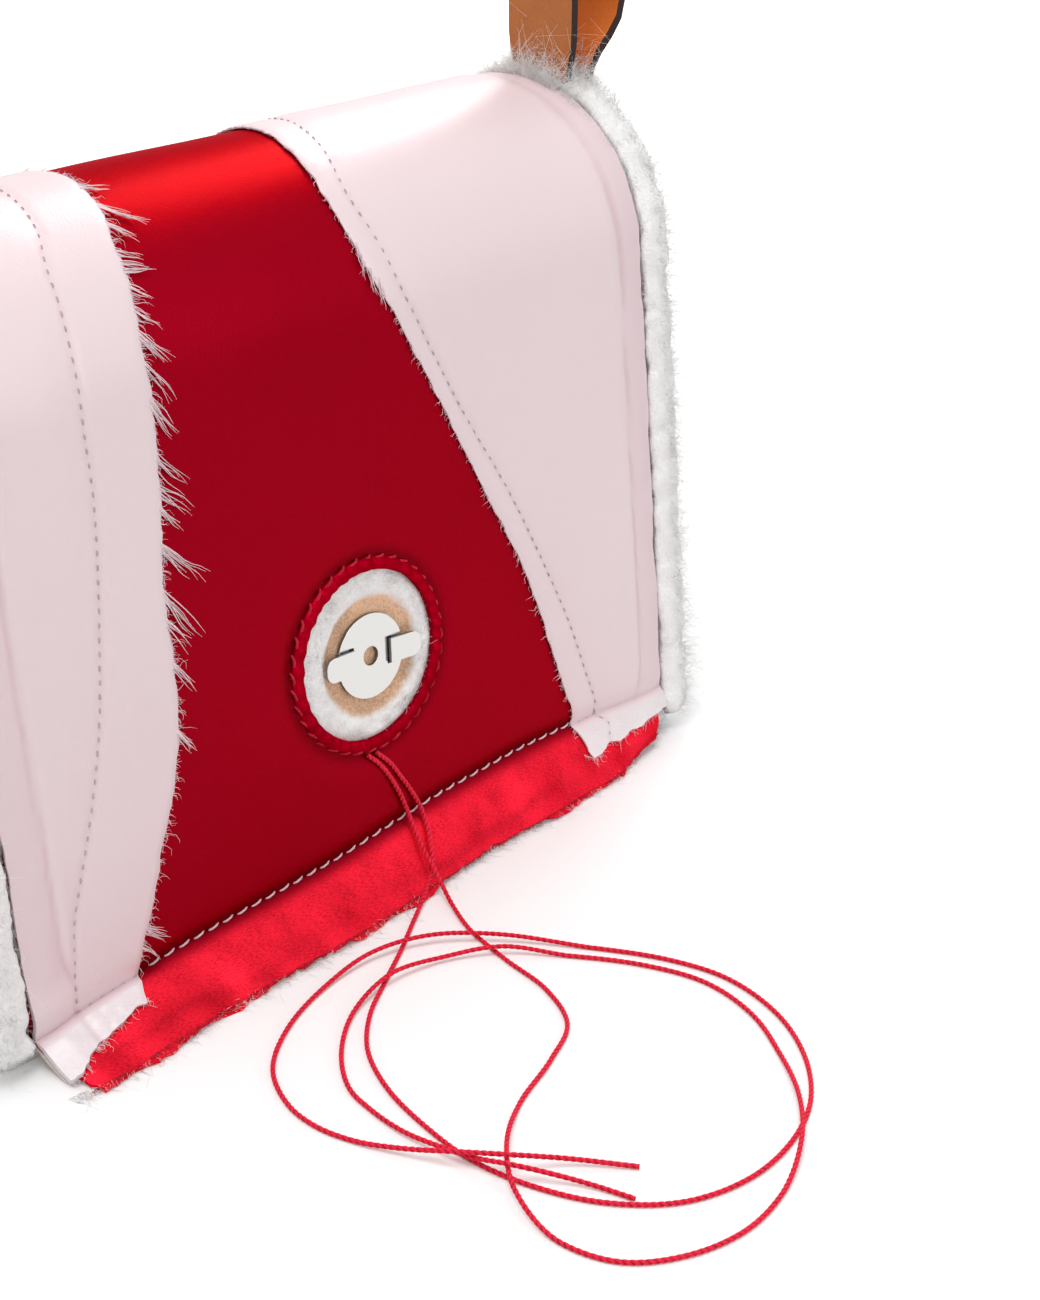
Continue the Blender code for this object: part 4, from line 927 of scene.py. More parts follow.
class BAG_OT_camera(bpy.types.Operator):
    """Sets the camera where the bag was seen from"""

    bl_idname = "bag.camera"
    bl_label = "Camera"

    def execute(self, context):
        yaw = math.radians(47.33)
        pitch = math.radians(26.04)
        roll = math.radians(0.18)
        ahead = Vector((math.sin(yaw) * math.cos(pitch), math.cos(yaw) * math.cos(pitch), -math.sin(pitch)))
        right = Vector((math.cos(yaw), -math.sin(yaw), 0.0))
        up = right.cross(ahead)
        turned_right = right * math.cos(roll) + up * math.sin(roll)
        turned_up = up * math.cos(roll) - right * math.sin(roll)
        data = bpy.data.cameras.new("view")
        data.sensor_width = 36.0
        data.lens = 60.88
        data.clip_start = 0.01
        camera = bpy.data.objects.new("view", data)
        context.scene.collection.objects.link(camera)
        turn = Matrix((turned_right, turned_up, -ahead)).transposed().to_4x4()
        camera.matrix_world = Matrix.Translation((-0.2722, -0.3331, 0.2467)) @ turn
        context.scene.camera = camera
        return {"FINISHED"}


class BAG_OT_threads(bpy.types.Operator):
    """Makes the two loose threads that hang from the window's rim"""

    bl_idname = "bag.threads"
    bl_label = "Loose threads"

    def execute(self, context):
        twisted_thread("loose_thread_a", THREAD_A, 1.0)
        twisted_thread("loose_thread_b", THREAD_B, 4.0)
        return {"FINISHED"}


class BAG_OT_stage(bpy.types.Operator):
    """Makes the floor, the soft lamps and the plain sky"""

    bl_idname = "bag.stage"
    bl_label = "Stage"

    def execute(self, context):
        make_floor()
        make_sky(context.scene)
        soft_lamp("key", (-0.30, -0.15, 1.25), (0.0, 0.0, 0.10), 0.9, 11.0)
        soft_lamp("front", (0.2, -1.3, 0.6), (0.0, 0.0, 0.08), 0.9, 3.6)
        soft_lamp("side", (0.85, 0.46, 0.92), (0.0, 0.0, 0.12), 0.55, 6.0)
        context.scene.view_settings.view_transform = "Standard"
        return {"FINISHED"}


def seen_by_eye(tree):
    """One on rays from the camera, in gloss and through glass."""
    path = node(tree, "ShaderNodeLightPath")
    first = node(tree, "ShaderNodeMath",
                 [(0, path.outputs["Is Camera Ray"]), (1, path.outputs["Is Glossy Ray"])], operation="MAXIMUM")
    both = node(tree, "ShaderNodeMath", [(0, first.outputs[0]), (1, path.outputs["Is Transmission Ray"])],
                operation="MAXIMUM")
    return both.outputs[0]


def make_floor():
    mesh, _ = make_mesh("floor", np.array([(-3, -3, 0), (3, -3, 0), (3, 3, 0), (-3, 3, 0)], float),
                        [np.array([[0, 1, 2, 3]])])
    material = principled("floor_white", roughness=0.9, specular_ior_level=0.0)
    shader_of(material).inputs["Base Color"].default_value = (0.84, 0.84, 0.84, 1.0)
    tree = material.node_tree
    path = node(tree, "ShaderNodeLightPath")
    spot = node(tree, "ShaderNodeTexCoord")
    reach = node(tree, "ShaderNodeVectorMath", [(0, spot.outputs["Object"])], operation="LENGTH")
    far = node(tree, "ShaderNodeMapRange", [("Value", reach.outputs["Value"])])
    far.inputs["From Min"].default_value = 0.15
    far.inputs["From Max"].default_value = 0.90
    far.inputs["To Min"].default_value = 0.12
    far.inputs["To Max"].default_value = 0.75
    lift = node(tree, "ShaderNodeMath", [(0, path.outputs["Is Camera Ray"]), (1, far.outputs["Result"])],
                operation="MULTIPLY")
    shader_of(material).inputs["Emission Color"].default_value = (1.0, 1.0, 1.0, 1.0)
    tree.links.new(lift.outputs[0], shader_of(material).inputs["Emission Strength"])
    mesh.materials.append(material)
    floor = bpy.data.objects.new("floor", mesh)
    bpy.context.scene.collection.objects.link(floor)


def make_sky(scene):
    world = bpy.data.worlds.new("sky")
    scene.world = world
    world.use_nodes = True
    tree = world.node_tree
    background = tree.nodes["Background"]
    background.inputs["Color"].default_value = (1.0, 1.0, 1.0, 1.0)
    seen = seen_by_eye(tree)
    level = node(tree, "ShaderNodeMapRange", [("Value", seen)])
    level.inputs["To Min"].default_value = 0.42
    level.inputs["To Max"].default_value = 1.0
    tree.links.new(level.outputs["Result"], background.inputs["Strength"])


def soft_lamp(name, spot, target, size, energy):
    data = bpy.data.lights.new(name, "AREA")
    data.shape = "SQUARE"
    data.size = size
    data.energy = energy
    lamp = bpy.data.objects.new(name, data)
    bpy.context.scene.collection.objects.link(lamp)
    lamp.location = spot
    lamp.rotation_euler = (Vector(target) - Vector(spot)).to_track_quat("-Z", "Y").to_euler()


def sheet_rows(first, last, spacing):
    count = max(2, int(round((last - first) / spacing)) + 1)
    return np.linspace(first, last, count)


def torn(at, height, size, seed):
    """Uneven tears along an edge: value noise at two sizes."""
    spots = np.stack([np.asarray(at, float), np.zeros(np.shape(at)), np.zeros(np.shape(at))], -1)
    return height * (noise(spots, size, seed) + 0.6 * noise(spots, size / 3.1, seed + 7))


def red_cover_grid():
    """X and S of the red satin's grid: torn side edges, hem rows that follow the seam, and even rows above."""
    form = sizes()
    half = 30.0 * MM
    left_columns = np.linspace(0.0, 1.0, 41)
    middle = np.linspace(-half, half, 45)
    hem = np.linspace(1.0, 0.0, 15)
    start = form.window_height - half
    lower = np.linspace(0.0, 1.0, 9)[1:-1]
    upper = np.concatenate([np.linspace(start, form.window_height + half, 45),
                            sheet_rows(form.window_height + half, root_place() - form.gap, 2.5 * MM)[1:]])
    rows = len(hem) + len(lower) + len(upper)
    f = np.concatenate([hem, np.zeros(rows - len(hem))])
    nominal = np.concatenate([-hem * form.hem_run, lower * start, upper])
    right_end = through([(0.0, 88.6), (0.35, 88.0), (0.55, 87.3), (0.8, 86.2), (1.0, 83.5)], f) * MM
    right_end = np.where(f > 0.0, right_end, form.half_width - 0.6 * MM)
    left_end = np.where(f > 0.0, -form.half_width + 0.4 * MM + 3.0 * MM * f ** 2, -form.half_width + 0.6 * MM)
    right_end = right_end + torn(nominal, 0.5 * MM, 4.0 * MM, 3)
    left_end = left_end + torn(nominal, 0.5 * MM, 4.0 * MM, 4)
    x = np.concatenate([
        left_end[:, None] + (-half - left_end[:, None]) * left_columns[None, :-1],
        np.broadcast_to(middle, (rows, len(middle))),
        half + (right_end[:, None] - half) * left_columns[None, 1:],
    ], axis=1)
    seam = seam_at(x)
    run = form.hem_run * (1.0 + torn(x, 0.032, 9.0 * MM, 5) + torn(x, 0.018, 1.6 * MM, 6))
    run = run * (1.0 - 0.15 * ease((x - 65.0 * MM) / (21.0 * MM)))
    s = np.broadcast_to(nominal[:, None], x.shape).copy()
    s[:len(hem)] = (seam - f[:, None] * run)[:len(hem)]
    share = np.concatenate([np.zeros(len(hem)), lower, np.ones(len(upper))])[:, None]
    block = slice(len(hem), len(hem) + len(lower))
    s[block] = (seam + (start - seam) * share)[block]
    return x, s


class BAG_OT_red_satin(bpy.types.Operator):
    """Makes the red satin with its window, puckers and torn hem"""

    bl_idname = "bag.red_satin"
    bl_label = "Red satin"

    def execute(self, context):
        form = sizes()
        x, s = red_cover_grid()
        rows, columns = x.shape
        xs, ss, groups, circle = window_patch(
            x, s, rows, columns, form.window_height, form.window_radius, 30.0 * MM, 12, 0)
        top = relief(xs, ss)
        mesh, used = shell_from("red_satin", xs, ss, groups, [rim_loop(rows, columns), circle],
                                top, top - form.satin)
        # The fold value brings in the hem colour, which is painted lighter for the light on the upturned hem.
        store_value(mesh, "fold", np.tile(ease((seam_at(xs) - ss + 0.3 * MM) / (4.5 * MM)), 2)[used])
        radius = np.hypot(xs, ss - form.window_height)
        # Painted shade, stored as the crease value: a dark band just above the bottom seam, a dark ring in the puckers
        # outside the window's stitches, and a dark line along a fold across the hem.
        dark = 0.75 * bell(ss - seam_at(xs) - 0.6 * MM, 1.6 * MM) + 0.55 * bell(radius - 21.0 * MM, 1.3 * MM)
        turned = 12.0 * MM + 0.9 * MM * np.sin(xs / (9.0 * MM)) + 0.5 * MM * np.sin(xs / (4.1 * MM))
        dark += 0.28 * bell(seam_at(xs) - ss - turned, 1.1 * MM) * (0.65 + 0.35 * np.sin(xs / (13.0 * MM)))
        store_value(mesh, "crease_shade", np.tile(dark, 2)[used])
        piece = add_piece("red_satin", mesh, [finish("red_satin_face")], "flap",
                          ["red_satin_cover"], sharp=50.0)
        return {"FINISHED"}


def panel_height(x, s, edge_x, stitch, raw):
    """Height of a pink panel's face: flat by its raw edge, sunk along its stitches and full beyond them."""
    form = sizes()
    stitch_x = through(stitch, s / MM) * MM
    off = x - stitch_x
    puckers = 0.5 + 0.5 * np.cos(2.0 * np.pi * s / (2.6 * MM))
    groove = bell(off, 0.75 * MM) * (0.26 + 0.10 * puckers) * MM
    full = 0.32 * MM * ease(off * -raw / (7.0 * MM))
    thin = 0.36 * MM * bell(x - edge_x, 0.8 * MM)
    beyond = np.abs(x) - crease_at(s)
    waves = noise(np.stack([0.6 * x, s, 0.0 * x], -1), 5.5 * MM, 19) * ease(beyond / (2.0 * MM))
    ledge = (0.42 * ease((beyond + 0.3 * MM) / (0.9 * MM)) - 0.16 * waves) * MM * crease_depth(s)
    swell = 0.16 * MM * bell(beyond + 2.0 * MM, 1.8 * MM) * crease_depth(s)
    return form.gap + 0.62 * MM + full - groove - thin - ledge + swell


def panel_piece(name, node_name, edge, hem, stitch, raw, seed):
    """Pink panel: a closed sheet between its raw edge and the flap's side, with its hem below the seam.
    raw is the side its raw edge faces, 1 for the left panel and -1 for the right."""
    form = sizes()
    side = -raw * (form.half_width - 0.4 * MM)
    hem_rows = np.linspace(1.0, 0.0, 10)
    end = root_place() - 3.0 * MM
    start = 11.0 * MM
    lower = np.linspace(0.0, 1.0, 12)[1:-1]
    upper = sheet_rows(start, end, 1.3 * MM)
    nominal = np.concatenate([np.zeros(len(hem_rows)), lower * start, upper])
    edge_x = through(edge, nominal / MM) * MM
    f = np.concatenate([hem_rows, np.zeros(len(nominal) - len(hem_rows))])
    edge_x = edge_x + np.where(f > 0.0, -raw * 2.2 * MM * f, 0.0) + torn(nominal - f * 6 * MM, 0.28 * MM, 3 * MM, seed)
    columns = 46
    share = np.linspace(0.0, 1.0, columns) ** 1.15
    side = side - raw * (0.25 * MM - torn(nominal, 0.30 * MM, 9.0 * MM, seed + 3))[:, None]
    x = edge_x[:, None] + (side - edge_x[:, None]) * share[None]
    seam = seam_at(x)
    depth = through(hem, x / MM) * MM * (1.0 + torn(x, 0.05, 3.0 * MM, seed + 1))
    s = np.broadcast_to(nominal[:, None], x.shape).copy()
    first = slice(0, len(hem_rows))
    s[first] = (seam - f[:, None] * depth)[first]
    block = slice(len(hem_rows), len(hem_rows) + len(lower))
    s[block] = seam[block] + (start - seam[block]) * lower[:, None]
    spots = np.stack([x, s, 0.0 * x], -1)
    rumple = 0.30 * MM * noise(spots, 2.6 * MM, seed + 5) * ease(f * 2.5)[:, None]
    shift = relief(x, s)
    edge_here = np.broadcast_to(edge_x[:, None], x.shape)
    top = shift + panel_height(x, s, edge_here, stitch, raw) + np.abs(rumple)
    bottom = shift + form.gap
    mesh, used = shell_from(name, x.ravel(), s.ravel(), [grid_faces(*x.shape)], [rim_loop(*x.shape)],
                            top.ravel(), bottom.ravel())
    store_value(mesh, "fold", np.tile(np.broadcast_to(ease(f * 2.0)[:, None], x.shape).ravel(), 2)[used])
    # Painted shade, stored as the crease value: darker along the side crease and fainter over the band beyond it, and
    # darker in the stitch grooves and along the seam.
    beyond = np.abs(x) - crease_at(s)
    line = 0.50 * bell(beyond, 0.55 * MM) + 0.16 * ease(beyond / (1.5 * MM))
    groove = 0.22 * bell(x - through(stitch, s / MM) * MM, 0.6 * MM) + 0.45 * bell(s - seam, 0.7 * MM)
    store_value(mesh, "crease_shade", np.tile((line * crease_depth(s) + groove).ravel(), 2)[used])
    piece = add_piece(name, mesh, [finish("pink_satin_face")], "flap", [node_name], sharp=50.0)
    return piece


class BAG_OT_pink_panels(bpy.types.Operator):
    """Makes the two pink satin panels with their raw edges"""

    bl_idname = "bag.pink_panels"
    bl_label = "Pink panels"

    def execute(self, context):
        panel_piece("pink_satin_left", "pink_panel_left", LEFT_EDGE, LEFT_HEM, LEFT_STITCH, 1.0, 11)
        panel_piece("pink_satin_right", "pink_panel_right", RIGHT_EDGE, RIGHT_HEM, RIGHT_STITCH, -1.0, 21)
        return {"FINISHED"}


class BAG_OT_seam_stitches(bpy.types.Operator):
    """Makes the stitches of the bottom seam and of the two pink panels"""

    bl_idname = "bag.seam_stitches"
    bl_label = "Seam stitches"

    def execute(self, context):
        x = np.arange(-63.0, 58.0, 0.5) * MM
        red_line = np.stack([x, seam_at(x) + 0.2 * MM], -1)
        points, groups = stitches(red_line, 3.7 * MM, 0.76, 0.23 * MM, 0.36 * MM, -0.30 * MM, 0.22)
        mesh, _ = make_mesh("seam_stitches", points, groups)
        add_piece("seam_stitches", mesh, [finish("pink_yarn")], "flap")
        rows = []
        for stitch in (LEFT_STITCH, RIGHT_STITCH):
            s = np.arange(stitch[0][0] + 0.5, 205.0, 0.5)
            rows.append(np.stack([through(stitch, s), s], -1) * MM)
        for first, last in ((-89.0, -64.5), (59.5, 89.0)):
            x = np.arange(first, last, 0.5) * MM
            rows.append(np.stack([x, seam_at(x) + 0.2 * MM], -1))
        points, groups = joined([
            stitches(row, 2.65 * MM, 0.46, 0.15 * MM, 0.93 * MM, 0.35 * MM) for row in rows])
        mesh, _ = make_mesh("panel_stitches", points, groups)
        add_piece("panel_stitches", mesh, [finish("mauve_yarn")], "flap")
        return {"FINISHED"}


def strands(roots, tips, radius, bend, seed, stations=4, sides=3):
    """Fine tapered tubes from roots to tips. Each bows sideways by a sine and curls round its line by bend."""
    rng = np.random.default_rng(seed)
    many = len(roots)
    t = np.linspace(0.0, 1.0, stations)
    run = tips - roots
    reach = np.linalg.norm(run, axis=1, keepdims=True)
    side = np.cross(run, rng.normal(size=(many, 3)))
    side /= np.linalg.norm(side, axis=1, keepdims=True) + 1e-12
    other = np.cross(run / (reach + 1e-12), side)
    phase = rng.uniform(0.0, 2.0 * np.pi, (many, 1))
    turns = rng.uniform(0.5, 1.3, (many, 1)) * 2.0 * np.pi
    swing = bend * reach * t[None]
    off_side = swing * (np.cos(phase + turns * t[None]) - np.cos(phase) * (1.0 - t[None]))
    off_other = swing * (np.sin(phase + turns * t[None]) - np.sin(phase) * (1.0 - t[None]))
    centres = roots[:, None] + run[:, None] * t[None, :, None]
    centres = centres + side[:, None] * off_side[..., None] + other[:, None] * off_other[..., None]
    radii = np.broadcast_to(radius * (1.0 - 0.75 * t[None] ** 1.5), (many, stations))
    return tubes(centres, radii, sides, side[:, None])


def edge_line(edge, s):
    return through(edge, s / MM) * MM


class BAG_OT_fringe(bpy.types.Operator):
    """Makes the frayed tufts and the fine fuzz along the raw edges of the satins"""

    bl_idname = "bag.fringe"
    bl_label = "Fringe"

    def execute(self, context):
        rng = np.random.default_rng(5)
        parts = []
        for root, tip in TUFTS:
            count = rng.integers(7, 12)
            reach = np.hypot(tip[0] - root[0], tip[1] - root[1])
            spread = rng.normal(size=(count, 2)) * np.array([0.35, 0.75])
            start = np.array(root) + np.array([math.copysign(1.0, root[0]), 0.0]) + spread * np.array([0.6, 1.0])
            end = np.array(tip) + rng.normal(size=(count, 2)) * reach * 0.075 + spread * 0.5
            end = start + (end - start) * rng.uniform(0.62, 1.08, (count, 1))
            parts.append(self.fibres(start * MM, end * MM, rng.uniform(0.65, 1.3, count) * MM, 0.145 * MM,
                                     0.040, rng, 7))
        for edge, raw, density, reach, first, last in (
                (LEFT_EDGE, 1.0, 3.2, 1.7, 0.0, 205.0), (RIGHT_EDGE, -1.0, 3.2, 1.1, 0.0, 205.0)):
            count = int((last - first) * density)
            s = rng.uniform(first, last, count) * MM
            start = np.stack([edge_line(edge, s) - raw * 0.25 * MM, s], -1)
            long = rng.gamma(2.0, reach / 2.6, count) * MM
            slant = rng.normal(-0.75, 0.45, count)
            end = start + np.stack([raw * long * np.cos(slant), long * np.sin(slant)], -1)
            parts.append(self.fibres(start, end, rng.uniform(0.3, 1.0, count) * MM, 0.07 * MM, 0.2, rng, 5))
        for hem, first, last in ((LEFT_HEM, -89.5, -67.0), (RIGHT_HEM, 58.0, 89.0)):
            count = int((last - first) * 5.0)
            x = rng.uniform(first, last, count) * MM
            s = seam_at(x) - through(hem, x / MM) * MM + 0.3 * MM
            start = np.stack([x, s], -1)
            long = rng.gamma(2.0, 0.5, count) * MM
            slant = rng.normal(-1.5, 0.5, count)
            end = start + np.stack([long * np.cos(slant), long * np.sin(slant)], -1)
            parts.append(self.fibres(start, end, rng.uniform(0.3, 1.0, count) * MM, 0.07 * MM, 0.2, rng, 5))
        points, groups = joined(parts)
        mesh, _ = make_mesh("pink_fringe", points, groups)
        add_piece("pink_fringe", mesh, [finish("fringe_yarn")], "flap")
        count = 1300
        x = rng.uniform(-89.0, 84.0, count) * MM
        run = sizes().hem_run
        deep = run * (0.97 - 0.15 * ease((x - 65 * MM) / (21 * MM)))
        start = np.stack([x, seam_at(x) - deep], -1)
        long = rng.gamma(2.0, 0.42, count) * MM
        slant = rng.normal(-1.45, 0.6, count)
        end = start + np.stack([long * np.cos(slant), 0.5 * long * np.sin(slant)], -1)
        points, groups = self.fibres(start, end, rng.uniform(-0.1, 0.4, count) * MM, 0.06 * MM, 0.25, rng, 4)
        points[:, 2] = np.maximum(points[:, 2], 0.0001)
        mesh, _ = make_mesh("hem_frays", points, groups)
        add_piece("hem_frays", mesh, [finish("red_frays")], "flap")
        return {"FINISHED"}

    def fibres(self, start, end, lift, radius, bend, rng, stations):
        base = relief(start[:, 0], start[:, 1])
        roots = place(start[:, 0], start[:, 1], base + 0.6 * MM)
        tips = place(end[:, 0], end[:, 1], base + lift)
        return strands(roots, tips, radius, bend, int(rng.integers(1, 9999)), stations)


class BAG_OT_window(bpy.types.Operator):
    """Makes the bound rim of the window and the stitches round it"""

    bl_idname = "bag.window"
    bl_label = "Window rim"

    def execute(self, context):
        form = sizes()
        around = 2.0 * np.pi * np.arange(360) / 360
        across = 2.0 * np.pi * np.arange(20) / 20
        a, b = np.meshgrid(around, across, indexing="ij")
        fold = 0.5 * np.sin(36.0 * a + 2.2 * np.sin(3.0 * a)) + 0.35 * np.sin(21.0 * a + 1.0)
        pucker = fold * (0.5 + 0.5 * np.cos(b))
        radius = form.window_radius + (1.15 + 1.35 * np.cos(b) + 0.10 * pucker) * MM
        n = form.gap + (0.62 * np.sin(b) + 0.42 * fold * np.clip(np.sin(b) + 0.4, 0.0, 1.0)) * MM
        n = n - 0.55 * MM * ease((radius - 19.4 * MM) / (1.6 * MM))
        x = radius * np.cos(a)
        s = form.window_height + radius * np.sin(a)
        mesh, used = make_mesh("window_rim", place(x, s, n).reshape(-1, 3),
                               [np.concatenate([grid_faces(361, 20, True)[:359 * 20],
                                                self.last_ring(360, 20)])])
        store_cloth_map(mesh, x.ravel(), s.ravel(), used)
        face_out(mesh)
        add_piece("window_rim", mesh, [finish("rim_satin")], "flap", ["window_binding"])
        turn = np.linspace(0.0, 2.0 * np.pi, 400)
        circle = np.stack([20.35 * MM * np.cos(turn), form.window_height + 20.35 * MM * np.sin(turn)], -1)
        points, groups = stitches(circle, 3.55 * MM, 0.84, 0.30 * MM, 0.62 * MM, -0.30 * MM, 0.22)
        mesh, _ = make_mesh("window_stitches", points, groups)
        add_piece("window_stitches", mesh, [finish("rim_yarn")], "flap")
        return {"FINISHED"}

    def last_ring(self, rings, sides):
        k = np.arange(sides)
        last = (rings - 1) * sides
        return np.stack([last + k, last + (k + 1) % sides, (k + 1) % sides, k], -1)


def wool_slope(x, s):
    """How far the shaved skin round the snap has turned into wool: a smooth step of the distance from it."""
    form = sizes()
    radius = np.hypot(x - form.snap_x, s - form.snap_height)
    return ease((radius - 11.2 * MM) / (2.8 * MM))


class BAG_OT_flap_wool(bpy.types.Operator):
    """Makes the flap's shearling, shaved to the skin round the snap"""

    bl_idname = "bag.flap_wool"
    bl_label = "Flap wool"

    def execute(self, context):
        form = sizes()
        half = form.half_width - 0.5 * MM
        square = 30.0 * MM
        columns = np.concatenate([
            np.linspace(-half, -square, 21)[:-1], np.linspace(-square, square, 45),
            np.linspace(square, half, 21)[1:]])
        start = form.window_height - square
        end = root_place() - form.gap
        hem = np.linspace(10.5 * MM, 0.0, 10)
        lower = np.linspace(0.0, 1.0, 9)[1:-1]
        upper = np.concatenate([np.linspace(start, form.window_height + square, 45),
                                sheet_rows(form.window_height + square, end, 3.5 * MM)[1:]])
        rows = len(hem) + len(lower) + len(upper)
        x = np.broadcast_to(columns, (rows, len(columns))).copy()
        seam = seam_at(x)
        s = np.concatenate([seam[:10] - hem[:, None], seam[10:17] + (start - seam[10:17]) * lower[:, None],
                            np.broadcast_to(upper[:, None], (len(upper), len(columns)))])
        xs, ss, groups, _ = window_patch(
            x, s, rows, len(columns), form.window_height, 9.5 * MM, square, 26, 6)
        shared = relief(xs, ss)
        radius = np.hypot(xs, ss - form.window_height)
        flat = np.stack([xs, ss, 0.0 * xs], -1)
        slope = wool_slope(xs, ss)
        fluff = curls(flat, 3.4 * MM, 31) * 0.75 * MM * slope * ease((21.0 * MM - radius) / (2.5 * MM))
        skin = form.gap + form.satin
        shaved = -form.shaved + 0.85 * MM * slope + fluff
        shaved = shaved - 0.10 * MM * noise(flat, 1.1 * MM, 8) * (1.0 - slope)
        under = ease((radius - 17.3 * MM) / (1.2 * MM))
        top = shaved * (1.0 - under) + (-skin + shared) * under
        deep = skin + (1.6 * MM + (form.pile - 1.6 * MM) * ease((ss - seam_at(xs)) / (4.0 * MM)))
        bottom = np.broadcast_to(-deep, shared.shape)
        mesh, used = shell_from("flap_wool", xs, ss, groups, [rim_loop(rows, len(columns))], top, bottom)
        patch = slope + 0.14 * noise(flat, 1.4 * MM, 17)
        mask = np.tile(ease((patch - 0.12) / 0.80), 2)
        mask[len(xs):] = 0.0
        store_value(mesh, "pile", mask[used])
        add_piece("flap_wool", mesh, [finish("wool_over_skin")], "flap", ["flap_shearling"])
        return {"FINISHED"}


def disc(outline, outward, axis, thickness, centre, inner, outer, rim_steps):
    """Rings of points over a plate: in from the pole, round its rim by half an ellipse, and back to the other
    pole. The further in a ring lies, the rounder its corners: the edge's mean over nearby stations takes the
    edge's place. Returns points and outward ways, both rings by stations by 3."""
    theta = np.linspace(-0.5 * np.pi, 0.5 * np.pi, rim_steps)
    share = np.concatenate([np.linspace(0.97, 0.0, inner)[:-1], 0.0 * theta, np.linspace(0.0, 0.97, outer)[1:]])
    angle = np.concatenate([np.full(inner - 1, theta[0]), theta, np.full(outer - 1, theta[-1])])
    edge = outline - outward * thickness * 0.35
    rounded = np.mean([np.roll(edge, k, axis=0) for k in range(-22, 23)], axis=0)
    rounding = ease(share / 0.35)[:, None, None]
    ring = edge[None] + (rounded - edge)[None] * rounding
    spread = ring + (centre - ring) * share[:, None, None]
    spread = spread + outward[None] * (np.cos(angle) * thickness * 0.35)[:, None, None]
    points = spread + axis * (0.5 * thickness * (1.0 + np.sin(angle)))[:, None, None]
    ways = outward[None] * np.cos(angle)[:, None, None] + axis * np.sin(angle)[:, None, None]
    return points, ways, share


def disc_mesh(name, points):
    """Closed mesh over the rings of a disc, with a point at each pole."""
    rings, stations = points.shape[:2]
    poles = points[[0, -1]].mean(axis=1)
    flat = np.concatenate([points.reshape(-1, 3), poles])
    first = np.arange(stations)
    last = (rings - 1) * stations + first
    fans = [np.stack([np.roll(first, -1), first, np.full(stations, len(flat) - 2)], -1),
            np.stack([last, np.roll(last, -1), np.full(stations, len(flat) - 1)], -1)]
    mesh, _ = make_mesh(name, flat, [grid_faces(rings, stations, wrap=True), *fans])
    face_out(mesh)
    return mesh


def gusset_outline(spacing):
    """Points and outward ways of the side panel's outline, round from its front foot and along its foot."""
    foot = (sizes().seam_height - GUSSET_LOW.z) / math.cos(sizes().lean)
    last = root_place() + front_length() + foot
    s = sheet_rows(-foot, last, spacing)
    proud = 1.5 * MM
    y, z = body_line(s, proud)
    far_y, far_z = body_line(s, proud + MM)
    outward = np.stack([far_y - y, far_z - z], -1) / MM
    y_foot = sheet_rows(y[-1], y[0], spacing)[1:-1] if y[-1] < y[0] else -sheet_rows(y[0], y[-1], spacing)[1:-1]
    y = np.concatenate([y, y_foot])
    z = np.concatenate([z, np.full(len(y_foot), z[0])])
    outward = np.concatenate([outward, np.tile([[0.0, -1.0]], (len(y_foot), 1))])
    return y, z, outward


def gusset_surface(side, spacing=1.25 * MM):
    """Points and outward ways of a woolly side panel, with the pile's curls, in rings by stations."""
    y, z, ways = gusset_outline(spacing)
    inner_x = GUSSET_LOW.x
    outline = np.stack([np.full(len(y), side * inner_x), y, z], -1)
    outward = np.concatenate([np.zeros((len(y), 1)), ways], -1)
    centre = np.array([side * inner_x, 0.0, 0.068])
    thickness = GUSSET_HIGH.x - GUSSET_LOW.x
    axis = np.array([side, 0.0, 0.0])
    points, away, share = disc(outline, outward, axis, thickness, centre, 10, 50, 9)
    rolled = ease((0.13 - share) / 0.11)[:, None] * np.clip(0.5 - 0.5 * away[..., 0] * side, 0.0, 1.0)
    points[..., 0] -= side * 3.3 * MM * rolled
    return points, away, share


def woolly(points, away, seed, raised, inward):
    """Pushes points along their ways by curls: up by the raised height and down by the inward one."""
    lift = raised * curls(points, 4.4 * MM, seed) - inward
    return points + away * lift[..., None]


def grown(points, away, count, reach, radius, seed, lean, bend=0.32):
    """Wool hairs over a surface of points and outward ways: picked at random, and more of them where the
    surface faces forward or up, then tilted at random by lean."""
    rng = np.random.default_rng(seed)
    share = 0.45 + np.clip(away[:, 2] - away[:, 1], 0.0, 1.0)
    pick = rng.choice(len(points), count, p=share / share.sum())
    roots = points[pick] + rng.normal(size=(count, 3)) * 0.45 * MM - away[pick] * 0.5 * MM
    way = away[pick] + rng.normal(size=(count, 3)) * lean
    way /= np.linalg.norm(way, axis=1, keepdims=True)
    long = rng.gamma(6.0, reach / 6.0, (count, 1))
    tips = roots + way * long
    return strands(roots, tips, radius, bend, seed + 1, 3)


def above_floor(points):
    points[:, 2] = np.maximum(points[:, 2], 0.00015)
    return points


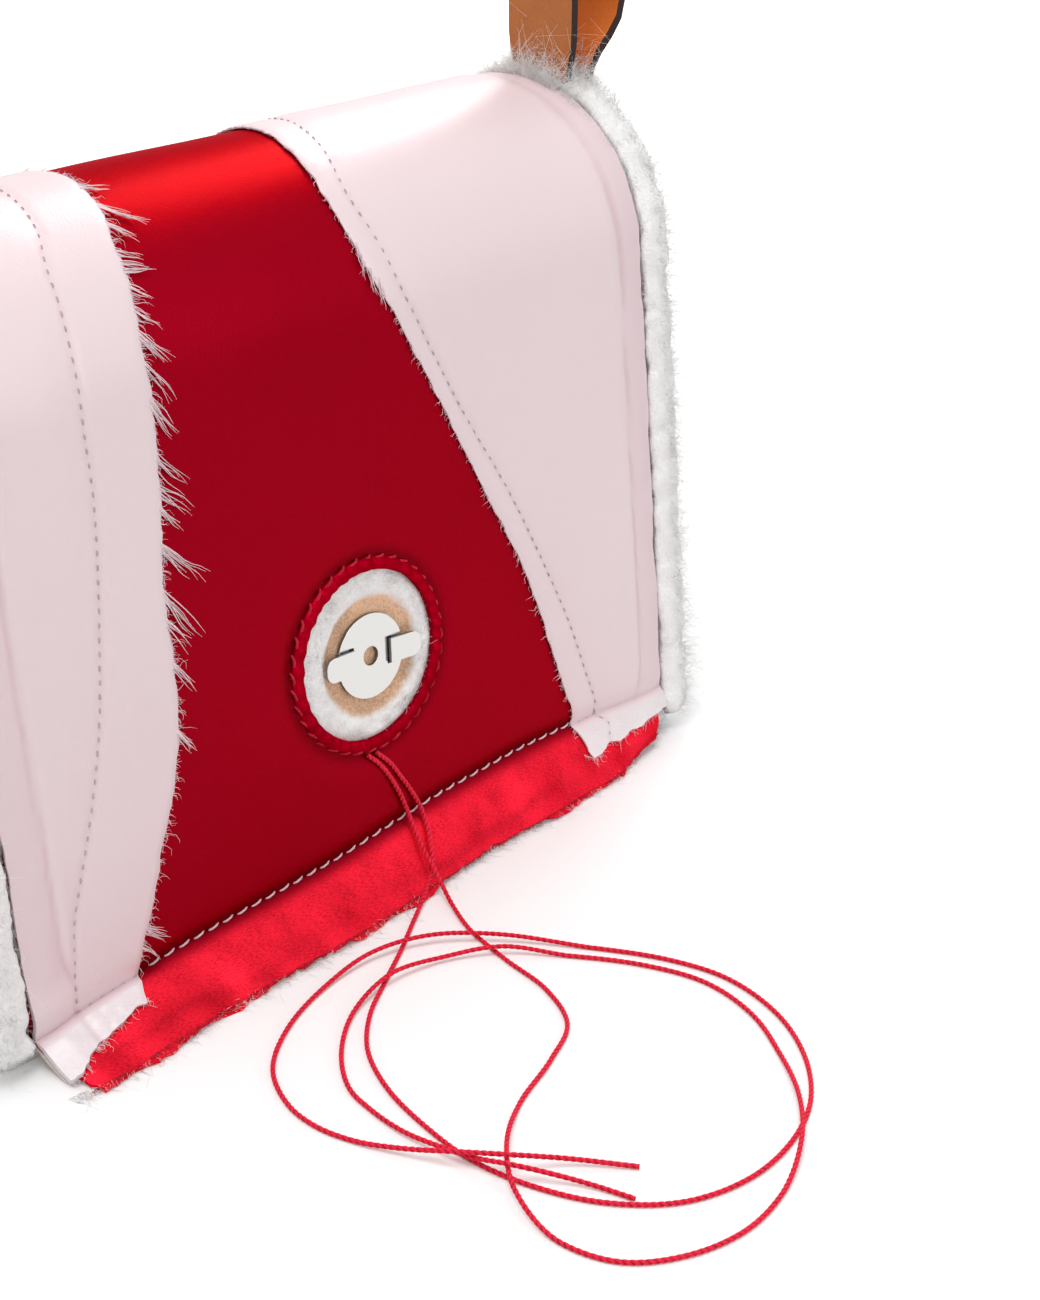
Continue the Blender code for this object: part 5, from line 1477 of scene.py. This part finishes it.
class BAG_OT_gussets(bpy.types.Operator):
    """Makes the two woolly side panels and the hairs that stand out of them"""

    bl_idname = "bag.gussets"
    bl_label = "Side panels"

    def execute(self, context):
        for side, label, seed, many in ((-1.0, "left", 41, 3400), (1.0, "right", 51, 5600)):
            points, away, share = gusset_surface(side)
            inner = (away[..., 0] * side < -0.2)
            surface = woolly(points, away, seed, 1.2 * MM, 0.45 * MM)
            rest = inner & (share[:, None] > 0.02)
            surface = np.where(rest[..., None], points, surface)
            surface = above_floor(surface.reshape(-1, 3)).reshape(points.shape)
            add_piece(f"gusset_wool_{label}", disc_mesh(f"gusset_wool_{label}", surface),
                      [finish("white_wool")], "bag", [f"gusset_{label}"])
            outer = ~inner
            rim = outer & (share[:, None] < 0.10)
            parts = [
                grown(surface[rim], away[rim], many, 3.9 * MM, 0.050 * MM, seed + 2, 0.60),
                grown(surface[outer], away[outer], 2400, 2.4 * MM, 0.065 * MM, seed + 4, 0.75),
            ]
            hairs, groups = joined(parts)
            mesh, _ = make_mesh(f"gusset_hairs_{label}", above_floor(hairs), groups)
            add_piece(f"gusset_hairs_{label}", mesh, [finish("wool_hairs")], "bag")
            wisps, groups = strap_foot_wisps(side, many // 2, seed)
            mesh, _ = make_mesh(f"strap_foot_wisps_{label}", wisps, groups)
            add_piece(f"strap_foot_wisps_{label}", mesh, [finish("wool_hairs")], "bag")
        return {"FINISHED"}


def strap_foot_wisps(side, count, seed):
    """Long wool curls that stand up round the strap's foot, as tubes."""
    rng = np.random.default_rng(seed + 9)
    x = side * rng.uniform(86.0, 101.5, count) * MM
    y = rng.normal(-3.0, 10.5, count) * MM
    s = front_length() + (0.5 * np.pi - sizes().lean) * sizes().crown_radius + y
    top_y, top_z = body_line(s, 0.0 * s)
    roots = np.stack([x, top_y, top_z + 0.2 * MM], -1)
    reach = rng.gamma(4.0, 1.0, (count, 1)) * MM * (0.35 + 0.65 * bell(y + 3.0 * MM, 11.0 * MM))[:, None]
    drift = rng.normal(size=(count, 3)) * np.array([0.55, 0.75, 0.35]) + np.array([side * 0.15, -0.15, 0.95])
    return strands(roots, roots + drift * reach, 0.048 * MM, 0.30, seed + 10, 4)


def wool_panel(name, x_half, s_rows, outer_n, inner_n, raised, seed, dish=None):
    """Closed shearling panel on the body's line, with curls on its outer face and suede on its inner one."""
    columns = np.linspace(-x_half, x_half, int(2 * x_half / (1.7 * MM)) + 1)
    x, s = np.meshgrid(columns, s_rows)
    y, z = body_line(s, 0.0 * s)
    flat = np.stack([x, y, z], -1)
    top = outer_n + raised * (curls(flat, 4.2 * MM, seed) - 0.5)
    bottom = np.full(x.shape, inner_n)
    if dish is not None:
        radius = np.hypot(x - sizes().snap_x, s - sizes().snap_height)
        top = top + (dish - top) * ease((14.2 * MM - radius) / (1.4 * MM))
    layers = []
    for n in (top, bottom):
        y, z = body_line(s, n)
        layers.append(np.stack([x, y, z], -1).reshape(-1, 3))
    count = x.size
    quads = grid_faces(*x.shape)
    points = np.concatenate(layers)
    points[:, 2] = np.maximum(points[:, 2], BASE_TOP)
    mesh, _ = make_mesh(name, points, [
        quads, quads[:, ::-1] + count, wall_faces(rim_loop(*x.shape), count)])
    kinds = np.zeros(len(mesh.polygons), np.int32)
    kinds[len(quads):2 * len(quads)] = 1
    mesh.polygons.foreach_set("material_index", kinds)
    face_out(mesh)
    return mesh, layers[0]


class BAG_OT_body_panels(bpy.types.Operator):
    """Makes the woolly front, back and base panels and the back's hairs"""

    bl_idname = "bag.body_panels"
    bl_label = "Body panels"

    def execute(self, context):
        form = sizes()
        finishes = [finish("white_wool"), finish("tan_suede_skin")]
        foot = (form.seam_height - GUSSET_LOW.z) / math.cos(form.lean)
        skin = form.satin + form.gap + form.pile
        panel_n = -skin - 0.6 * MM
        rows = sheet_rows(-foot, front_length() - 12.0 * MM, 1.7 * MM)
        mesh, _ = wool_panel("front_wool", 93.6 * MM, rows, panel_n, -11.5 * MM, 0.8 * MM, 61, -10.1 * MM)
        add_piece("front_wool", mesh, finishes, "bag", ["front_panel"])
        rows = sheet_rows(root_place() + form.gap, root_place() + front_length() + foot, 1.7 * MM)
        mesh, outer = wool_panel("back_wool", 93.6 * MM, rows, 0.5 * MM, -5.1 * MM, 1.6 * MM, 71)
        add_piece("back_wool", mesh, finishes, "bag", ["back_panel"])
        away = np.tile([0.0, math.cos(form.lean), math.sin(form.lean)], (len(outer), 1))
        hairs, groups = grown(outer, away, 3800, 2.6 * MM, 0.066 * MM, 75, 0.75)
        mesh, _ = make_mesh("back_hairs", above_floor(hairs), groups)
        add_piece("back_hairs", mesh, [finish("wool_hairs")], "bag")
        self.base()
        return {"FINISHED"}

    def base(self):
        half_x, half_y, corner = GUSSET_HIGH.x, 43.0 * MM, 6.0 * MM
        turn = np.linspace(0.0, 0.5 * np.pi, 7)
        arcs = []
        for k, (sx, sy) in enumerate(((1, 1), (-1, 1), (-1, -1), (1, -1))):
            angle = turn + k * 0.5 * np.pi
            ring = np.stack([np.cos(angle), np.sin(angle)], -1)
            arcs.append(np.array([sx * (half_x - corner), sy * (half_y - corner)]) + corner * ring)
        loop = np.concatenate([*arcs, arcs[0][:1]])
        steps = np.linalg.norm(np.diff(loop, axis=0), axis=1)
        reach = np.concatenate([[0.0], np.cumsum(steps)])
        at = np.linspace(0.0, reach[-1], 320, endpoint=False)
        flat = np.stack([np.interp(at, reach, loop[:, k]) for k in (0, 1)], -1)
        ahead = np.roll(flat, -1, axis=0) - np.roll(flat, 1, axis=0)
        outward = np.stack([ahead[:, 1], -ahead[:, 0]], -1)
        outward /= np.linalg.norm(outward, axis=1, keepdims=True)
        zero = np.zeros((len(flat), 1))
        outline = np.concatenate([flat, zero], -1)
        outward = np.concatenate([outward, zero], -1)
        points, away, _ = disc(outline, outward, np.array([0.0, 0.0, 1.0]), BASE_TOP - 0.3 * MM,
                               np.array([0.0, 0.0, 0.0]), 26, 12, 7)
        side = 1.0 - np.abs(away[..., 2])
        points = points + away * (side * (0.9 * MM * curls(points, 3.6 * MM, 81) - 0.4 * MM))[..., None]
        points = above_floor(points.reshape(-1, 3)).reshape(points.shape)
        add_piece("base_wool", disc_mesh("base_wool", points), [finish("white_wool")], "bag",
                  ["base_panel"])


class BAG_OT_edge_wool(bpy.types.Operator):
    """Makes the wool that stands out at the flap's sides, below its hem and round the snap's window"""

    bl_idname = "bag.edge_wool"
    bl_label = "Edge wool"

    def execute(self, context):
        form = sizes()
        rng = np.random.default_rng(9)
        edge = form.half_width - 0.7 * MM
        end = root_place()
        for side, label, seed, count in ((-1.0, "left", 91, 1900), (1.0, "right", 95, 2900)):
            s = rng.uniform(-1.5 * MM, end - 1.0 * MM, count)
            n = rng.uniform(-4.6, -1.2, count) * MM
            x = np.full(count, side * edge)
            roots = place(x, s, n)
            slack = 0.35 + 0.65 * ease((np.abs(s - (front_length() + 0.46 * crown_length())) - 14 * MM) / (8 * MM))
            long = rng.gamma(6.0, 3.4 / 6.0, count) * MM * slack
            tips = place(x + side * long * rng.uniform(0.5, 1.0, count), s + rng.normal(size=count) * long * 0.5,
                         n + long * rng.uniform(-0.25, 0.75, count))
            points, groups = strands(roots, tips, 0.065 * MM, 0.34, seed)
            mesh, _ = make_mesh(f"flap_side_wool_{label}", above_floor(points), groups)
            add_piece(f"flap_side_wool_{label}", mesh, [finish("wool_hairs")], "flap")
        count = 1300
        x = rng.uniform(-92.0, 92.0, count) * MM
        spread = rng.normal(size=(count, 2)) * np.array([1.2, 0.5]) * MM
        front_y = through(HEM_FRONT, x / MM) * MM + 3.0 * MM * ease((x - 60 * MM) / (22 * MM))
        roots = np.stack([x, front_y + 2.6 * MM, np.full(count, 0.25 * MM)], -1)
        tips = np.stack([x + spread[:, 0], front_y - rng.gamma(3.0, 0.62, count) * MM + 0.9 * MM,
                         np.abs(spread[:, 1]) + 0.15 * MM], -1)
        points, groups = strands(roots, tips, 0.055 * MM, 0.22, 99)
        mesh, _ = make_mesh("hem_wool", above_floor(points), groups)
        add_piece("hem_wool", mesh, [finish("wool_hairs")], "flap")
        count = 1500
        turn = rng.uniform(0.0, 2.0 * np.pi, count)
        radius = rng.uniform(12.8, 18.2, count) * MM
        x = radius * np.cos(turn)
        s = form.window_height + radius * np.sin(turn)
        n = -form.shaved + 0.85 * MM * wool_slope(x, s) + 0.1 * MM
        roots = place(x, s, n)
        reach = rng.gamma(4.0, 0.30, (count, 1)) * MM
        drift = rng.normal(size=(count, 2)) * 0.5 * reach
        keep = np.hypot(x - form.snap_x, s - form.snap_height) > 13.9 * MM
        tips = place(x + drift[:, 0], s + drift[:, 1], n + reach[:, 0] * 0.5)
        points, groups = strands(roots[keep], tips[keep], 0.045 * MM, 0.35, 97)
        mesh, _ = make_mesh("window_wool", points, groups)
        add_piece("window_wool", mesh, [finish("wool_hairs")], "flap")
        return {"FINISHED"}


def round_prong_tips(shape):
    """Rounds the corners of the snap's prongs, where they stand furthest from its middle."""
    form = sizes()
    y, z = body_line(np.array(form.snap_height), np.array(0.0))
    middle = Vector((form.snap_x, float(y), float(z)))
    out = Vector((0.0, -math.cos(form.lean), math.sin(form.lean)))
    corners = []
    for edge in shape.edges:
        run = edge.verts[1].co - edge.verts[0].co
        offset = edge.verts[0].co - middle
        reach = (offset - out * offset.dot(out)).length
        if run.length > 0.0 and abs(run.normalized().dot(out)) > 0.9 and reach > 1.3 * form.washer_radius:
            corners.append(edge)
    bmesh.ops.bevel(shape, geom=corners, offset=2.2 * MM, segments=8, profile=0.5, affect="EDGES")


def solid_copy(node_name, name, finishes, body, bevel, smooth_angle=40.0, shaping=None):
    """Merged copy of a CAD node with its flat faces joined and its edges rounded."""
    source = bpy.data.objects[node_name]
    shape = bmesh.new()
    shape.from_mesh(source.data)
    shape.transform(source.matrix_world)
    bmesh.ops.remove_doubles(shape, verts=shape.verts, dist=1e-6)
    bmesh.ops.dissolve_limit(shape, angle_limit=math.radians(0.6), verts=shape.verts, edges=shape.edges)
    bmesh.ops.recalc_face_normals(shape, faces=shape.faces)
    if shaping is not None:
        shaping(shape)
    mesh = bpy.data.meshes.new(name)
    shape.to_mesh(mesh)
    shape.free()
    piece = add_piece(name, mesh, finishes, body, [node_name], sharp=smooth_angle)
    rounding = piece.modifiers.new("edges", "BEVEL")
    rounding.width = bevel
    rounding.segments = 3
    rounding.limit_method = "ANGLE"
    rounding.angle_limit = math.radians(30.0)
    rounding.harden_normals = True
    return piece


def mark_sides(mesh, axis):
    """Gives the second material, nickel darkened as painted shade, to the faces that stand along an axis: the cut
    sides of a flat part.
    """
    normals = np.zeros(len(mesh.polygons) * 3)
    mesh.polygons.foreach_get("normal", normals)
    side = np.abs(normals.reshape(-1, 3) @ np.array(axis)) < 0.35
    mesh.polygons.foreach_set("material_index", side.astype(np.int32))


class BAG_OT_snap(bpy.types.Operator):
    """Makes the nickel snap: washer, plug with its prongs, socket, magnet and back washer"""

    bl_idname = "bag.snap"
    bl_label = "Snap"

    def execute(self, context):
        nickel = [finish("plated_nickel"), finish("side_shade_nickel")]
        lean = sizes().lean
        for piece in (
                solid_copy("plug_washer", "washer_round", nickel, "flap", 0.08 * MM),
                solid_copy("snap_plug", "plug_and_prongs", nickel, "flap", 0.10 * MM, 40.0,
                           round_prong_tips)):
            mark_sides(piece.data, (0.0, -math.cos(lean), math.sin(lean)))
        solid_copy("snap_socket", "socket_case", nickel, "bag", 0.08 * MM)
        solid_copy("socket_washer", "socket_back_washer", nickel, "bag", 0.08 * MM)
        solid_copy("snap_magnet", "magnet_ring", [finish("magnet_face")], "bag", 0.10 * MM)
        return {"FINISHED"}


class BAG_OT_strap(bpy.types.Operator):
    """Makes the two leather layers of the strap, their painted edges and the rivets"""

    bl_idname = "bag.strap"
    bl_label = "Strap"

    def execute(self, context):
        for node_name, leather in (("strap_outer_layer", "outer_leather"), ("strap_inner_layer", "strap_leather")):
            faces = [finish(leather), finish("strap_edge_paint")]
            piece = solid_copy(node_name, f"{node_name}_leather", faces, "strap", 0.45 * MM)
            mesh = piece.data
            normals = np.zeros(len(mesh.polygons) * 3)
            mesh.polygons.foreach_get("normal", normals)
            side = np.abs(normals.reshape(-1, 3)[:, 1]) > 0.8
            mesh.polygons.foreach_set("material_index", side.astype(np.int32))
        for label in ("left", "right"):
            solid_copy(f"strap_rivet_{label}", f"rivet_{label}", [finish("plated_nickel")], "bag", 0.15 * MM)
        return {"FINISHED"}


class BAG_OT_inside(bpy.types.Operator):
    """Makes the suede pouch and the board under it"""

    bl_idname = "bag.inside"
    bl_label = "Inside"

    def execute(self, context):
        solid_copy("pouch_lining", "pouch_suede", [finish("tan_suede_skin")], "bag", 0.30 * MM)
        solid_copy("base_board", "board_sheet", [finish("grey_board_face")], "bag", 0.20 * MM)
        return {"FINISHED"}


class BAG_PT_panel(bpy.types.Panel):
    """Sizes, colours and steps of the bag"""

    bl_idname = "BAG_PT_panel"
    bl_label = "Shoulder bag"
    bl_space_type = "VIEW_3D"
    bl_region_type = "UI"
    bl_category = "Bag"

    def draw(self, context):
        for group, kind in ((context.scene.bag_form, BagForm), (context.scene.bag_colours, BagColours)):
            box = self.layout.box()
            for key in kind.__annotations__:
                box.prop(group, key)
        for operator in OPERATORS:
            self.layout.operator(operator.bl_idname)


OPERATORS = (
    BAG_OT_camera,
    BAG_OT_materials,
    BAG_OT_threads,
    BAG_OT_red_satin,
    BAG_OT_pink_panels,
    BAG_OT_seam_stitches,
    BAG_OT_fringe,
    BAG_OT_window,
    BAG_OT_flap_wool,
    BAG_OT_edge_wool,
    BAG_OT_gussets,
    BAG_OT_body_panels,
    BAG_OT_snap,
    BAG_OT_strap,
    BAG_OT_inside,
    BAG_OT_stage,
)
CLASSES = (BagForm, BagColours, *OPERATORS, BAG_PT_panel)


def register():
    for kind in CLASSES:
        bpy.utils.register_class(kind)
    bpy.types.Scene.bag_form = bpy.props.PointerProperty(type=BagForm)
    bpy.types.Scene.bag_colours = bpy.props.PointerProperty(type=BagColours)


def unregister():
    del bpy.types.Scene.bag_colours
    del bpy.types.Scene.bag_form
    for kind in reversed(CLASSES):
        bpy.utils.unregister_class(kind)


def main():
    register()
    for operator in OPERATORS:
        group, name = operator.bl_idname.split(".")
        getattr(getattr(bpy.ops, group), name)()


if __name__ == "__main__":
    main()
